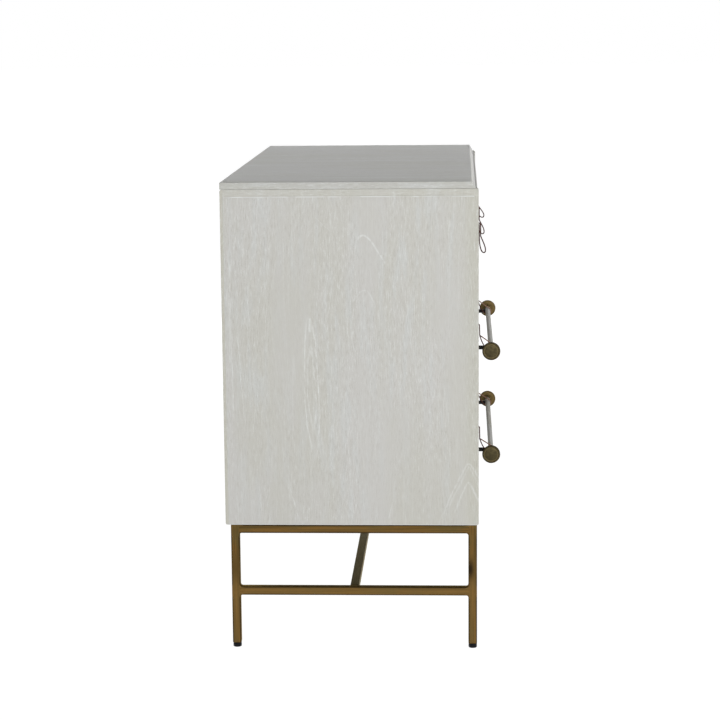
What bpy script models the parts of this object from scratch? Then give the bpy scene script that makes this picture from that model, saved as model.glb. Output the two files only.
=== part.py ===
"""A three-row dresser: a cerused wood case on a bronze tube base, with bar and lace pulls.

The front faces -Y, +Z is up and the floor is at zero. The origin is on the floor under the
middle of the whole object, pulls included. All lengths are in metres.
"""

import math
from collections import namedtuple

import bmesh
import bpy
from mathutils import Matrix, Vector

# Clearances and cutting
SEAT_GAP = 0.0003
CUT_OVERRUN = 0.004
WELD_DISTANCE = 0.00001

# Case
CASE_WIDTH = 1.057
CASE_DEPTH = 0.470
CASE_FLOOR_HEIGHT = 0.236
OVERALL_HEIGHT = 0.872
SIDE_THICKNESS = 0.018
FLOOR_THICKNESS = 0.012
SHELF_THICKNESS = 0.015
BACK_THICKNESS = 0.009
BACK_INSET = 0.002
CASE_EDGE_ROUND = 0.0010

# Top slab, with a chamfer along its front
SLAB_THICKNESS = 0.0125
SLAB_CHAMFER_DEPTH = 0.0065
SLAB_FOOT_SETBACK = 0.0055

# Rail between the two wide drawers
RAIL_THICKNESS = 0.018
RAIL_DEPTH = 0.070

# Drawer fronts, set back a little from the front edges of the sides
ROW_COUNT = 3
SMALL_DRAWER_COUNT = 3
REVEAL = 0.0025
FRONT_THICKNESS = 0.018
FRONT_INSET = 0.0020
CLOSING_GAP = 0.0005
FRONT_EDGE_ROUND = 0.0008

# Drawer boxes, held clear of the front's upper edge and of the back panel
BOX_HEAD_GAP = 0.0305
BOX_LIFT = 0.020
BOX_BACK_GAP = 0.0287
BOX_WALL = 0.014
BOX_SIDE_PLAY = 0.0025
BOX_BOTTOM_THICKNESS = 0.006
BOX_BOTTOM_LIFT = 0.010
BOX_TONGUE = 0.006
BOX_EDGE_ROUND = 0.0008

# Hardwood runners, in grooves along the boxes' sides
RUNNER_HEIGHT = 0.016
RUNNER_SETBACK = 0.002
RUNNER_BACK_GAP = 0.0362
RUNNER_GROOVE_DEPTH = 0.007
RUNNER_PLAY = 0.0005
RUNNER_EDGE_ROUND = 0.0006

# Base
TUBE = 0.016
TUBE_WALL = 0.0015
TUBE_EDGE_ROUND = 0.0012
FRAME_SIDE_INSET = 0.0015
FRAME_FRONT_INSET = 0.0032
FRAME_BACK_INSET = 0.0092
LOW_RAIL_HEIGHT = 0.101
WELD_FILLET = 0.005
CORNER_STEPS = 4

# Feet
GLIDE_DIAMETER = 0.0158
GLIDE_HEIGHT = 0.0085
GLIDE_EDGE = 0.0020
GLIDE_STEM_DIAMETER = 0.008
GLIDE_STEM_LENGTH = 0.012

# Bar pulls
BAR_LENGTH = 0.610
ROD_DIAMETER = 0.010
ROD_STANDOFF = 0.028
ROD_DROP = 0.0275
ROD_EDGE = 0.0006
POST_SPACING = 0.512
POST_DIAMETER = 0.008
POST_SHANK_DIAMETER = 0.004
POST_NUT_DIAMETER = 0.009
POST_NUT_HEIGHT = 0.003
DISC_DIAMETER = 0.035
DISC_THICKNESS = 0.005
DISC_RIM_ROUND = 0.0014
DISC_RING_DEPTH = 0.0005
DISC_RING_SHARES = (0.64, 0.71, 0.80, 0.86)
HUB_DIAMETER = 0.0145
HUB_LENGTH = 0.006

# Leather lace of every pull
LACE_DIAMETER = 0.0022
LACE_SIDES_RESOLUTION = 2
LACE_PITCH = 0.0026
LACE_BEND = 0.0040
LACE_TAIL = 0.009
LACE_TAIL_SPREAD = 0.0022
LACE_KNOT_SHARES = (0.7, 1.6, 1.9, 1.5)
LACE_TAIL_STEPS = 5
LACE_HOLE_STEPS = 3
LACE_BEND_STEPS = 4

# Hanging loops, one value for each small drawer from left to right
LOOP_HOLE_RISE = 0.0215
LOOP_FACE_OFFSET = 0.0045
LOOP_TIE_DROPS = (0.0030, 0.0050, 0.0058)
LOOP_REACHES = (0.0163, 0.0172, 0.0202)
LOOP_DROPS = (0.0349, 0.0343, 0.0330)
LOOP_TURN_HEIGHT = 0.0046
LOOP_TURN_DEPTH = 0.0031
LOOP_SWING = 0.0029
LOOP_FALL_SHARE = 0.30
LOOP_BACK_SHARE = 0.62
LOOP_RETURN_SHARE = 0.60

# Lashings round the bars, with one tie drop for each wide row from the lowest up
LASH_HOLE_RISE = 0.0190
LASH_HOLE_PITCH = 0.0040
LASH_FACE_OFFSET = 0.0058
LASH_TIE_DROPS = (0.0058, 0.0036)
LASH_TIE_OFFSET = 0.0061
LASH_OVER_X = 0.0024
LASH_BESIDE_X = 0.0064
LASH_WRAP_GAP = 0.0004
LASH_START_TURN = 126
LASH_END_TURN = 316
LASH_CLIMB_SHARE = 0.36
LASH_LEAN_SHARE = 0.35

# A cubic curve follows a quarter circle when its pulls are this share of the radius
ARC_PULL_SHARE = 0.5523

TURNED_STEPS = 32
SMALL_TURNED_STEPS = 16

# Sizes that follow
PULL_REACH = ROD_STANDOFF + DISC_DIAMETER / 2 - FRONT_INSET
FRONT_Y = (PULL_REACH - CASE_DEPTH) / 2
BACK_Y = FRONT_Y + CASE_DEPTH
FACE_Y = FRONT_Y + FRONT_INSET
FRONT_BACK_Y = FACE_Y + FRONT_THICKNESS
CASE_TOP = OVERALL_HEIGHT - SLAB_THICKNESS - SEAT_GAP
INNER_HALF_WIDTH = CASE_WIDTH / 2 - SIDE_THICKNESS
CARCASS_FRONT_Y = FRONT_BACK_Y + CLOSING_GAP
CARCASS_BACK_Y = BACK_Y - BACK_INSET - BACK_THICKNESS - SEAT_GAP
ROWS_LOW = CASE_FLOOR_HEIGHT + FLOOR_THICKNESS
ROWS_HEIGHT = OVERALL_HEIGHT - SLAB_THICKNESS - ROWS_LOW
FRONT_HEIGHT = (ROWS_HEIGHT - (ROW_COUNT + 1) * REVEAL) / ROW_COUNT
ROW_PITCH = FRONT_HEIGHT + REVEAL
WIDE_FRONT_WIDTH = 2 * INNER_HALF_WIDTH - 2 * REVEAL
SMALL_FRONT_WIDTH = (WIDE_FRONT_WIDTH - (SMALL_DRAWER_COUNT - 1) * REVEAL) / SMALL_DRAWER_COUNT
DIVIDER_X = (SMALL_FRONT_WIDTH + REVEAL) / 2
BOX_HEIGHT = FRONT_HEIGHT - BOX_LIFT - BOX_HEAD_GAP
BOX_BACK_Y = CARCASS_BACK_Y - BOX_BACK_GAP
RUNNER_FRONT_Y = CARCASS_FRONT_Y + RUNNER_SETBACK
RUNNER_BACK_Y = CARCASS_BACK_Y - RUNNER_BACK_GAP
LOW_RAIL_TOP = LOW_RAIL_HEIGHT + TUBE
FRAME_TOP = CASE_FLOOR_HEIGHT - SEAT_GAP
FRAME_FRONT_Y = FRONT_Y + FRAME_FRONT_INSET
FRAME_BACK_Y = BACK_Y - FRAME_BACK_INSET
FRAME_OUTER_X = CASE_WIDTH / 2 - FRAME_SIDE_INSET
LEG_FOOT_HEIGHT = GLIDE_HEIGHT + SEAT_GAP
RUNNER_REACH = BOX_SIDE_PLAY + RUNNER_GROOVE_DEPTH - RUNNER_PLAY
WRAP_RADIUS = ROD_DIAMETER / 2 + LASH_WRAP_GAP + LACE_DIAMETER / 2

Finish = namedtuple("Finish", "color roughness metallic")
CERUSED_WOOD = Finish((0.565, 0.555, 0.520), 0.55, 0.0)
PALE_BOX_WOOD = Finish((0.620, 0.500, 0.350), 0.60, 0.0)
RUNNER_WOOD = Finish((0.560, 0.430, 0.280), 0.55, 0.0)
AGED_BRONZE = Finish((0.155, 0.100, 0.035), 0.42, 0.85)
AGED_BRASS = Finish((0.095, 0.075, 0.036), 0.45, 0.85)
SATIN_NICKEL = Finish((0.480, 0.470, 0.440), 0.30, 1.0)
BLACK_STEEL = Finish((0.015, 0.015, 0.016), 0.40, 0.6)
BLACK_PLASTIC = Finish((0.012, 0.012, 0.014), 0.50, 0.0)
RED_BROWN_LEATHER = Finish((0.120, 0.045, 0.028), 0.60, 0.0)

Drawer = namedtuple("Drawer", "name row center_x front_width low_x high_x")
SIDES = (("left", -1), ("right", 1))


def clear_scene():
    """Remove what the scene holds."""
    for old in list(bpy.data.objects):
        bpy.data.objects.remove(old, do_unlink=True)


def make_collection(name, hidden=False):
    """Add a collection to the scene."""
    collection = bpy.data.collections.new(name)
    bpy.context.scene.collection.children.link(collection)
    collection.hide_render = hidden
    return collection


def dress(piece, finish):
    """Give a piece a Principled material of its own."""
    material = bpy.data.materials.new(piece.name + "_finish")
    material.use_nodes = True
    shader = material.node_tree.nodes["Principled BSDF"]
    shader.inputs["Base Color"].default_value = (*finish.color, 1.0)
    shader.inputs["Roughness"].default_value = finish.roughness
    shader.inputs["Metallic"].default_value = finish.metallic
    piece.data.materials.clear()
    piece.data.materials.append(material)


def place_mesh(name, mesh, location, finish, parent=None):
    """Make a mesh a named piece at a place in the world, carried by a parent if given."""
    mesh.name = name
    piece = bpy.data.objects.new(name, mesh)
    PARTS.objects.link(piece)
    piece.location = Vector(location)
    if parent is not None:
        piece.parent = parent
        piece.location = Vector(location) - parent.location
    dress(piece, finish)
    return piece


def round_edges(piece, width, segments=2):
    """Round the square edges of a piece."""
    bevel = piece.modifiers.new("edge_round", "BEVEL")
    bevel.width = width
    bevel.segments = segments
    bevel.limit_method = "ANGLE"
    bevel.angle_limit = math.radians(40)


def cut(piece, cutter):
    """Take a cutter's shape out of a piece."""
    boolean = piece.modifiers.new("cut_" + cutter.name, "BOOLEAN")
    boolean.operation = "DIFFERENCE"
    boolean.solver = "EXACT"
    boolean.object = cutter


def cut_all(piece, cutters):
    """Take every shape of a collection out of a piece, all at once."""
    boolean = piece.modifiers.new("cut_" + cutters.name, "BOOLEAN")
    boolean.operation = "DIFFERENCE"
    boolean.solver = "EXACT"
    boolean.operand_type = "COLLECTION"
    boolean.collection = cutters


def make_cutter(name, mesh, location, turn_x=0, cutters=None):
    """Put a closed mesh among the cutters, or in a collection of its own kind."""
    cutter = bpy.data.objects.new(name, mesh)
    (cutters or CUTTERS).objects.link(cutter)
    cutter.location = Vector(location)
    cutter.rotation_euler = (turn_x, 0, 0)
    cutter.hide_render = True
    cutter.display_type = "WIRE"
    return cutter


def block_mesh(name, low, high):
    """Make a block between two corners, about its own middle."""
    solid = bmesh.new()
    bmesh.ops.create_cube(solid, size=1.0)
    bmesh.ops.scale(solid, vec=Vector(high) - Vector(low), verts=solid.verts)
    mesh = bpy.data.meshes.new(name)
    solid.to_mesh(mesh)
    solid.free()
    return mesh


def board(name, low, high, finish, edge=CASE_EDGE_ROUND, segments=1, parent=None):
    """Make a board between two corners, with its edges eased."""
    middle = (Vector(low) + Vector(high)) / 2
    piece = place_mesh(name, block_mesh(name, low, high), middle, finish, parent)
    round_edges(piece, edge, segments)
    return piece


def block_cutter(name, low, high):
    """Make a block-shaped cutter between two corners."""
    middle = (Vector(low) + Vector(high)) / 2
    return make_cutter(name, block_mesh(name, low, high), middle)


def mesh_of(source):
    """Read an object's evaluated mesh, welded, and remove the object."""
    bpy.context.view_layer.update()
    graph = bpy.context.evaluated_depsgraph_get()
    mesh = bpy.data.meshes.new_from_object(source.evaluated_get(graph))
    welded = bmesh.new()
    welded.from_mesh(mesh)
    bmesh.ops.remove_doubles(welded, verts=welded.verts, dist=WELD_DISTANCE)
    welded.to_mesh(mesh)
    welded.free()
    bpy.data.objects.remove(source, do_unlink=True)
    return mesh


def outline_mesh(name, loops, thickness):
    """Extrude flat loops, the first the outside and the rest holes, about their own plane."""
    curve = bpy.data.curves.new(name, "CURVE")
    curve.dimensions = "2D"
    curve.fill_mode = "BOTH"
    curve.extrude = thickness / 2
    for loop in loops:
        spline = curve.splines.new("POLY")
        spline.points.add(len(loop) - 1)
        spline.use_cyclic_u = True
        for point, (across, up) in zip(spline.points, loop):
            point.co = (across, up, 0, 1)
    shape = bpy.data.objects.new(name, curve)
    PARTS.objects.link(shape)
    return mesh_of(shape)


def along_x(mesh):
    """Turn a flat outline of Y and Z so that it is extruded along X."""
    mesh.transform(Matrix(((0, 0, 1, 0), (1, 0, 0, 0), (0, 1, 0, 0), (0, 0, 0, 1))))
    return mesh


def turned_mesh(name, profile, steps=TURNED_STEPS):
    """Turn a profile of radius and height, given from its top down, about Z."""
    shape = bmesh.new()
    points = [shape.verts.new((radius, 0, height)) for radius, height in profile]
    for first, second in zip(points, points[1:]):
        shape.edges.new((first, second))
    mesh = bpy.data.meshes.new(name)
    shape.to_mesh(mesh)
    shape.free()
    piece = bpy.data.objects.new(name, mesh)
    PARTS.objects.link(piece)
    screw = piece.modifiers.new("turn", "SCREW")
    screw.axis = "Z"
    screw.steps = steps
    screw.render_steps = steps
    screw.use_merge_vertices = True
    screw.merge_threshold = WELD_DISTANCE
    turned = mesh_of(piece)
    turned.shade_smooth()
    turned.set_sharp_from_angle(angle=math.radians(35))
    return turned


def plain_profile(radius, low, high):
    """Give the profile of a plain cylinder, from its top down."""
    return ((0, high), (radius, high), (radius, low), (0, low))


def rounded_loop(corners, radii):
    """Round each corner of a loop of points by its own radius."""
    loop = []
    for index, (corner, radius) in enumerate(zip(corners, radii)):
        here = Vector(corner)
        if radius == 0:
            loop.append(tuple(here))
            continue
        before = (Vector(corners[index - 1]) - here).normalized()
        after = (Vector(corners[(index + 1) % len(corners)]) - here).normalized()
        center = here + (before + after) * radius
        for step in range(CORNER_STEPS + 1):
            turn = math.radians(90) * step / CORNER_STEPS
            offset = after * math.cos(turn) + before * math.sin(turn)
            loop.append(tuple(center - offset * radius))
    return loop


def row_low(row):
    """Give the height of the lower edge of a row's drawer fronts, counted from below."""
    return ROWS_LOW + REVEAL + row * ROW_PITCH


def row_middle(row):
    """Give the height of the middle of a row's drawer fronts."""
    return row_low(row) + FRONT_HEIGHT / 2


def box_low(row):
    """Give the height of the lower edge of a row's drawer boxes."""
    return row_low(row) + BOX_LIFT


def build_side_panels():
    """Make the two full-depth sides."""
    for word, sign in SIDES:
        faces = sorted((sign * CASE_WIDTH / 2, sign * INNER_HALF_WIDTH))
        low = (faces[0], FRONT_Y, CASE_FLOOR_HEIGHT)
        high = (faces[1], BACK_Y, CASE_TOP)
        board("side_panel_" + word, low, high, CERUSED_WOOD, segments=2)


def build_top_slab():
    """Make the top with its chamfered front."""
    low = OVERALL_HEIGHT - SLAB_THICKNESS
    foot = FRONT_Y + SLAB_FOOT_SETBACK
    profile = (
        (foot, low),
        (BACK_Y, low),
        (BACK_Y, OVERALL_HEIGHT),
        (foot + SLAB_CHAMFER_DEPTH, OVERALL_HEIGHT),
    )
    mesh = along_x(outline_mesh("top_slab", [profile], CASE_WIDTH))
    slab = place_mesh("top_slab", mesh, (0, 0, 0), CERUSED_WOOD)
    round_edges(slab, CASE_EDGE_ROUND)


def build_carcass():
    """Make the boards between the sides."""
    reach = INNER_HALF_WIDTH - SEAT_GAP
    back = CARCASS_BACK_Y
    shelf_middle = row_low(2) - REVEAL / 2
    shelf_low = shelf_middle - SHELF_THICKNESS / 2
    shelf_high = shelf_middle + SHELF_THICKNESS / 2
    rail_low = row_low(1) - REVEAL / 2 - RAIL_THICKNESS / 2
    rail_high = rail_low + RAIL_THICKNESS
    rail_back = CARCASS_FRONT_Y + RAIL_DEPTH
    panels = (
        ("case_floor", FRONT_Y, CASE_FLOOR_HEIGHT, back, ROWS_LOW),
        ("back_panel", back + SEAT_GAP, CASE_FLOOR_HEIGHT, BACK_Y - BACK_INSET, CASE_TOP),
        ("row_shelf", CARCASS_FRONT_Y, shelf_low, back, shelf_high),
        ("row_rail", CARCASS_FRONT_Y, rail_low, rail_back, rail_high),
    )
    for name, low_y, low_z, high_y, high_z in panels:
        board(name, (-reach, low_y, low_z), (reach, high_y, high_z), CERUSED_WOOD)
    for word, sign in SIDES:
        faces = [sign * DIVIDER_X - SIDE_THICKNESS / 2, sign * DIVIDER_X + SIDE_THICKNESS / 2]
        low = (faces[0], CARCASS_FRONT_Y, shelf_high + SEAT_GAP)
        high = (faces[1], back, CASE_TOP)
        board("divider_" + word, low, high, CERUSED_WOOD)


def frame_loops():
    """Give the end frame's outside and its window, as points of Y and Z."""
    inner_front, inner_back = FRAME_FRONT_Y + TUBE, FRAME_BACK_Y - TUBE
    outside = (
        (FRAME_FRONT_Y, FRAME_TOP),
        (FRAME_FRONT_Y, LEG_FOOT_HEIGHT),
        (inner_front, LEG_FOOT_HEIGHT),
        (inner_front, LOW_RAIL_HEIGHT),
        (inner_back, LOW_RAIL_HEIGHT),
        (inner_back, LEG_FOOT_HEIGHT),
        (FRAME_BACK_Y, LEG_FOOT_HEIGHT),
        (FRAME_BACK_Y, FRAME_TOP),
    )
    fillets = (0, 0, 0, WELD_FILLET, WELD_FILLET, 0, 0, 0)
    window = (
        (inner_front, LOW_RAIL_TOP),
        (inner_back, LOW_RAIL_TOP),
        (inner_back, FRAME_TOP - TUBE),
        (inner_front, FRAME_TOP - TUBE),
    )
    return [rounded_loop(outside, fillets), rounded_loop(window, [WELD_FILLET] * len(window))]


def leg_places():
    """Give each leg's name and the X and Y place of its axis."""
    lines = (("front", FRAME_FRONT_Y + TUBE / 2), ("back", FRAME_BACK_Y - TUBE / 2))
    return [
        (f"{line}_{word}", sign * (FRAME_OUTER_X - TUBE / 2), y)
        for word, sign in SIDES
        for line, y in lines
    ]


def build_end_frames():
    """Make the two welded end frames, bored for the glides' stems."""
    mesh = along_x(outline_mesh("end_frame", frame_loops(), TUBE))
    bore_top = LEG_FOOT_HEIGHT + GLIDE_STEM_LENGTH + SEAT_GAP
    bore = plain_profile(
        GLIDE_STEM_DIAMETER / 2 + SEAT_GAP, LEG_FOOT_HEIGHT - CUT_OVERRUN, bore_top
    )
    bore_mesh = turned_mesh("stem_bore", bore, SMALL_TURNED_STEPS)
    for word, sign in SIDES:
        place = (sign * (FRAME_OUTER_X - TUBE / 2), 0, 0)
        frame = place_mesh("end_frame_" + word, mesh.copy(), place, AGED_BRONZE)
        round_edges(frame, TUBE_EDGE_ROUND)
        for name, x, y in leg_places():
            if name.endswith(word):
                cut(frame, make_cutter("stem_bore_" + name, bore_mesh, (x, y, 0)))


def square_loop(side, corner):
    """Give a square with rounded corners about the origin."""
    half = side / 2
    corners = ((-half, -half), (half, -half), (half, half), (-half, half))
    return rounded_loop(corners, [corner] * len(corners))


def build_long_rails():
    """Make the square tubes that join the end frames."""
    length = 2 * (FRAME_OUTER_X - TUBE - SEAT_GAP)
    bore = TUBE - 2 * TUBE_WALL
    loops = [square_loop(TUBE, TUBE_EDGE_ROUND), square_loop(bore, TUBE_EDGE_ROUND)]
    mesh = along_x(outline_mesh("long_rail", loops, length))
    top_middle = FRAME_TOP - TUBE / 2
    places = (
        ("front_rail", FRAME_FRONT_Y + TUBE / 2, top_middle),
        ("back_rail", FRAME_BACK_Y - TUBE / 2, top_middle),
        ("stretcher", (FRAME_FRONT_Y + FRAME_BACK_Y) / 2, LOW_RAIL_HEIGHT + TUBE / 2),
    )
    for name, y, z in places:
        place_mesh(name, mesh.copy(), (0, y, z), AGED_BRONZE)


def build_glides():
    """Make the four plastic glides, with stems up the legs."""
    radius, stem = GLIDE_DIAMETER / 2, GLIDE_STEM_DIAMETER / 2
    profile = (
        (0, GLIDE_HEIGHT + GLIDE_STEM_LENGTH),
        (stem, GLIDE_HEIGHT + GLIDE_STEM_LENGTH),
        (stem, GLIDE_HEIGHT),
        (radius, GLIDE_HEIGHT),
        (radius, GLIDE_EDGE),
        (radius - GLIDE_EDGE / 3, GLIDE_EDGE / 3),
        (radius - GLIDE_EDGE, 0),
        (0, 0),
    )
    glide = turned_mesh("glide", profile, SMALL_TURNED_STEPS)
    for name, x, y in leg_places():
        place_mesh("glide_" + name, glide.copy(), (x, y, 0), BLACK_PLASTIC)


def drawer_list():
    """Give the three small drawers of the top row and the two wide ones below."""
    wall = INNER_HALF_WIDTH
    divider_inner = DIVIDER_X - SIDE_THICKNESS / 2
    divider_outer = DIVIDER_X + SIDE_THICKNESS / 2
    spans = (
        ("left", -wall, -divider_outer),
        ("middle", -divider_inner, divider_inner),
        ("right", divider_outer, wall),
    )
    drawers = []
    for index, (word, low_x, high_x) in enumerate(spans):
        center = (index - 1) * (SMALL_FRONT_WIDTH + REVEAL)
        drawers.append(
            Drawer("small_drawer_" + word, 2, center, SMALL_FRONT_WIDTH, low_x, high_x)
        )
    for word, row in (("upper", 1), ("lower", 0)):
        drawers.append(Drawer("wide_drawer_" + word, row, 0, WIDE_FRONT_WIDTH, -wall, wall))
    return drawers


def drawer_handle(drawer):
    """Add the empty that carries a drawer, on its line of travel."""
    handle = bpy.data.objects.new(drawer.name, None)
    PARTS.objects.link(handle)
    handle.location = (drawer.center_x, FACE_Y, row_middle(drawer.row))
    return handle


def build_drawer_front(drawer, handle):
    """Make a drawer's front."""
    low_z = row_low(drawer.row)
    low = (drawer.center_x - drawer.front_width / 2, FACE_Y, low_z)
    high = (drawer.center_x + drawer.front_width / 2, FRONT_BACK_Y, low_z + FRONT_HEIGHT)
    name = drawer.name + "_front"
    return board(name, low, high, CERUSED_WOOD, FRONT_EDGE_ROUND, 2, handle)


def build_drawer_box(drawer, handle):
    """Make a drawer's glued sides and back, grooved for the bottom and the runners."""
    low_z = box_low(drawer.row)
    outer_low, outer_high = drawer.low_x + BOX_SIDE_PLAY, drawer.high_x - BOX_SIDE_PLAY
    inner_low, inner_high = outer_low + BOX_WALL, outer_high - BOX_WALL
    start = FRONT_BACK_Y + SEAT_GAP
    inner_back = BOX_BACK_Y - BOX_WALL
    plan = (
        (outer_low, start),
        (inner_low, start),
        (inner_low, inner_back),
        (inner_high, inner_back),
        (inner_high, start),
        (outer_high, start),
        (outer_high, BOX_BACK_Y),
        (outer_low, BOX_BACK_Y),
    )
    name = drawer.name + "_box"
    mesh = outline_mesh(name, [plan], BOX_HEIGHT)
    box = place_mesh(name, mesh, (0, 0, low_z + BOX_HEIGHT / 2), PALE_BOX_WOOD, handle)
    round_edges(box, BOX_EDGE_ROUND, 1)
    for word, sign in SIDES:
        cut(box, runner_cutter(drawer, word, sign))
    return box


def runner_low(drawer):
    """Give the height of the lower edge of a drawer's runners."""
    return box_low(drawer.row) + (BOX_HEIGHT - RUNNER_HEIGHT) / 2


def runner_cutter(drawer, word, sign):
    """Make the cutter for the groove along one side of a box."""
    outer = drawer.low_x + BOX_SIDE_PLAY if sign < 0 else drawer.high_x - BOX_SIDE_PLAY
    faces = sorted((outer + sign * CUT_OVERRUN, outer - sign * RUNNER_GROOVE_DEPTH))
    low_z = runner_low(drawer)
    low = (faces[0], FRONT_BACK_Y - CUT_OVERRUN, low_z - RUNNER_PLAY)
    high = (faces[1], BOX_BACK_Y + CUT_OVERRUN, low_z + RUNNER_HEIGHT + RUNNER_PLAY)
    return block_cutter(f"{drawer.name}_groove_{word}", low, high)


def build_runners(drawer):
    """Make the runners that a drawer slides on, fixed to the case or the dividers."""
    low_z = runner_low(drawer)
    for word, sign in SIDES:
        wall = drawer.low_x if sign < 0 else drawer.high_x
        faces = sorted((wall - sign * SEAT_GAP, wall - sign * RUNNER_REACH))
        low = (faces[0], RUNNER_FRONT_Y, low_z)
        high = (faces[1], RUNNER_BACK_Y, low_z + RUNNER_HEIGHT)
        name = f"{drawer.name}_runner_{word}"
        board(name, low, high, RUNNER_WOOD, RUNNER_EDGE_ROUND)


def build_drawer_bottom(drawer, handle, front, box):
    """Make a drawer's bottom and the grooves that hold it in the front and the box."""
    low_x = drawer.low_x + BOX_SIDE_PLAY + BOX_WALL - BOX_TONGUE
    high_x = drawer.high_x - BOX_SIDE_PLAY - BOX_WALL + BOX_TONGUE
    low_y = FRONT_BACK_Y - BOX_TONGUE
    high_y = BOX_BACK_Y - BOX_WALL + BOX_TONGUE
    low_z = box_low(drawer.row) + BOX_BOTTOM_LIFT
    low = Vector((low_x, low_y, low_z))
    high = Vector((high_x, high_y, low_z + BOX_BOTTOM_THICKNESS))
    name = drawer.name + "_bottom"
    board(name, low, high, PALE_BOX_WOOD, BOX_EDGE_ROUND, 1, handle)
    gap = Vector((SEAT_GAP, SEAT_GAP, SEAT_GAP))
    cutter = block_cutter(name + "_groove", low - gap, high + gap)
    cut(front, cutter)
    cut(box, cutter)


def bezier(start, start_pull, end_pull, end, count):
    """Give points along a cubic curve, without its last point."""
    points = []
    for step in range(count):
        t = step / count
        s = 1 - t
        points.append(
            start * s**3 + start_pull * (3 * s * s * t) + end_pull * (3 * s * t * t) + end * t**3
        )
    return points


def through_front(hole, bend, face_offset, tail_shift):
    """Lead a strand from its tail inside the drawer to the lower end of its outer bend.

    hole is the strand's place in the front, as a vector of X and Z. Y is counted from the
    front's face.
    """
    mouth = hole + Vector((0, FRONT_THICKNESS, 0))
    tail_end = mouth + Vector((0, LACE_TAIL, 0)) + tail_shift
    bend_start = hole + Vector((0, bend - face_offset, 0))
    bend_end = hole + Vector((0, -face_offset, -bend))
    out = Vector((0, LACE_TAIL / 3, 0))
    pull = bend * ARC_PULL_SHARE
    before, after = Vector((0, pull, 0)), Vector((0, 0, pull))
    route = bezier(tail_end, tail_end - out, mouth + out, mouth, LACE_TAIL_STEPS)
    route += bezier(mouth, mouth - out, bend_start + out, bend_start, LACE_HOLE_STEPS)
    turn = (bend_start, bend_start - before, bend_end + after, bend_end)
    route += bezier(*turn, LACE_BEND_STEPS)
    route.append(bend_end)
    return route


def down_face(top, tie):
    """Lead a strand down the face from its bend to where it leaves the other strand."""
    drop = Vector((0, 0, (top.z - tie.z) / 3))
    return bezier(top, top - drop, tie + drop, tie, 4)[1:]


def loop_route(index):
    """Route a hanging loop, whose two strands lie one over the other on the face."""
    half = LACE_PITCH / 2
    inner, outer = LOOP_FACE_OFFSET, LOOP_FACE_OFFSET + LACE_PITCH
    tie_z = -LOOP_TIE_DROPS[index]
    reach, low = LOOP_REACHES[index], -LOOP_DROPS[index]
    upper_hole = Vector((0, 0, LOOP_HOLE_RISE + half))
    lower_hole = Vector((0, 0, LOOP_HOLE_RISE - half))
    spread = Vector((0, 0, LACE_TAIL_SPREAD))
    first = through_front(upper_hole, LACE_BEND + LACE_PITCH, outer, spread)
    last = through_front(lower_hole, LACE_BEND, inner, -spread)
    start = Vector((0, -outer, tie_z))
    front = Vector((0, -reach, low + LOOP_TURN_HEIGHT))
    lowest = Vector((0, LOOP_TURN_DEPTH - reach, low))
    end = Vector((0, -inner, tie_z))
    rise = start.z - front.z
    leave = Vector((0, LOOP_SWING, rise * LOOP_FALL_SHARE))
    fall = Vector((0, 0, rise * LOOP_FALL_SHARE))
    turn_z = Vector((0, 0, LOOP_TURN_HEIGHT * ARC_PULL_SHARE))
    turn_y = Vector((0, LOOP_TURN_DEPTH * ARC_PULL_SHARE, 0))
    back_y = Vector((0, (end.y - lowest.y) * LOOP_BACK_SHARE, 0))
    back_z = Vector((0, 0, (end.z - lowest.z) * LOOP_RETURN_SHARE))
    route = first + down_face(first[-1], start)
    route += bezier(start, start - leave, front + fall, front, 6)
    route += bezier(front, front - turn_z, lowest - turn_y, lowest, 4)
    route += bezier(lowest, lowest + back_y, end - back_z, end, 8)
    route.append(end)
    route += reversed(last + down_face(last[-1], end))
    return route


def lash_route(row):
    """Route a lace from its holes over the bar, under it, and back up beside the post."""
    half_hole, half = LASH_HOLE_PITCH / 2, LACE_PITCH / 2
    spread = Vector((LACE_TAIL_SPREAD, 0, 0))
    right_hole = Vector((half_hole, 0, LASH_HOLE_RISE))
    left_hole = Vector((-half_hole, 0, LASH_HOLE_RISE))
    first = through_front(right_hole, LACE_BEND, LASH_FACE_OFFSET, spread)
    last = through_front(left_hole, LACE_BEND, LASH_FACE_OFFSET, -spread)
    start = Vector((half, -LASH_TIE_OFFSET, -LASH_TIE_DROPS[row]))
    end = Vector((-half, -LASH_TIE_OFFSET, -LASH_TIE_DROPS[row]))
    arc = wrap_arc()
    run = arc[0] - start
    climb = end - arc[-1]
    leave = (arc[-1] - arc[-2]).normalized() * climb.length * LASH_CLIMB_SHARE
    lean = Vector((0, climb.y * LASH_LEAN_SHARE / 2, climb.z * LASH_CLIMB_SHARE))
    route = first + down_face(first[-1], start)
    route += bezier(start, start + run / 3, arc[0] - run / 3, arc[0], 5)
    route += arc
    route += bezier(arc[-1], arc[-1] + leave, end - lean, end, 7)[1:]
    route.append(end)
    route += reversed(last + down_face(last[-1], end))
    return route


def wrap_arc():
    """Give the turn of a lace round the bar, from over it to behind it."""
    arc = []
    count = 8
    for step in range(count + 1):
        share = step / count
        turn = math.radians(LASH_START_TURN + share * (LASH_END_TURN - LASH_START_TURN))
        x = LASH_OVER_X - share * (LASH_OVER_X + LASH_BESIDE_X)
        y = WRAP_RADIUS * math.cos(turn) - ROD_STANDOFF
        z = WRAP_RADIUS * math.sin(turn) - ROD_DROP
        arc.append(Vector((x, y, z)))
    return arc


def least_gap(points, diameter):
    """Measure the least gap between parts of a tube that are far apart along it."""
    apart = math.pi * diameter
    lengths = [0]
    for first, second in zip(points, points[1:]):
        lengths.append(lengths[-1] + (second - first).length)
    least = lengths[-1]
    for index, point in enumerate(points):
        for other in range(index + 1, len(points)):
            if lengths[other] - lengths[index] > apart:
                least = min(least, (points[other] - point).length)
    return least - diameter, lengths[-1]


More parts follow.
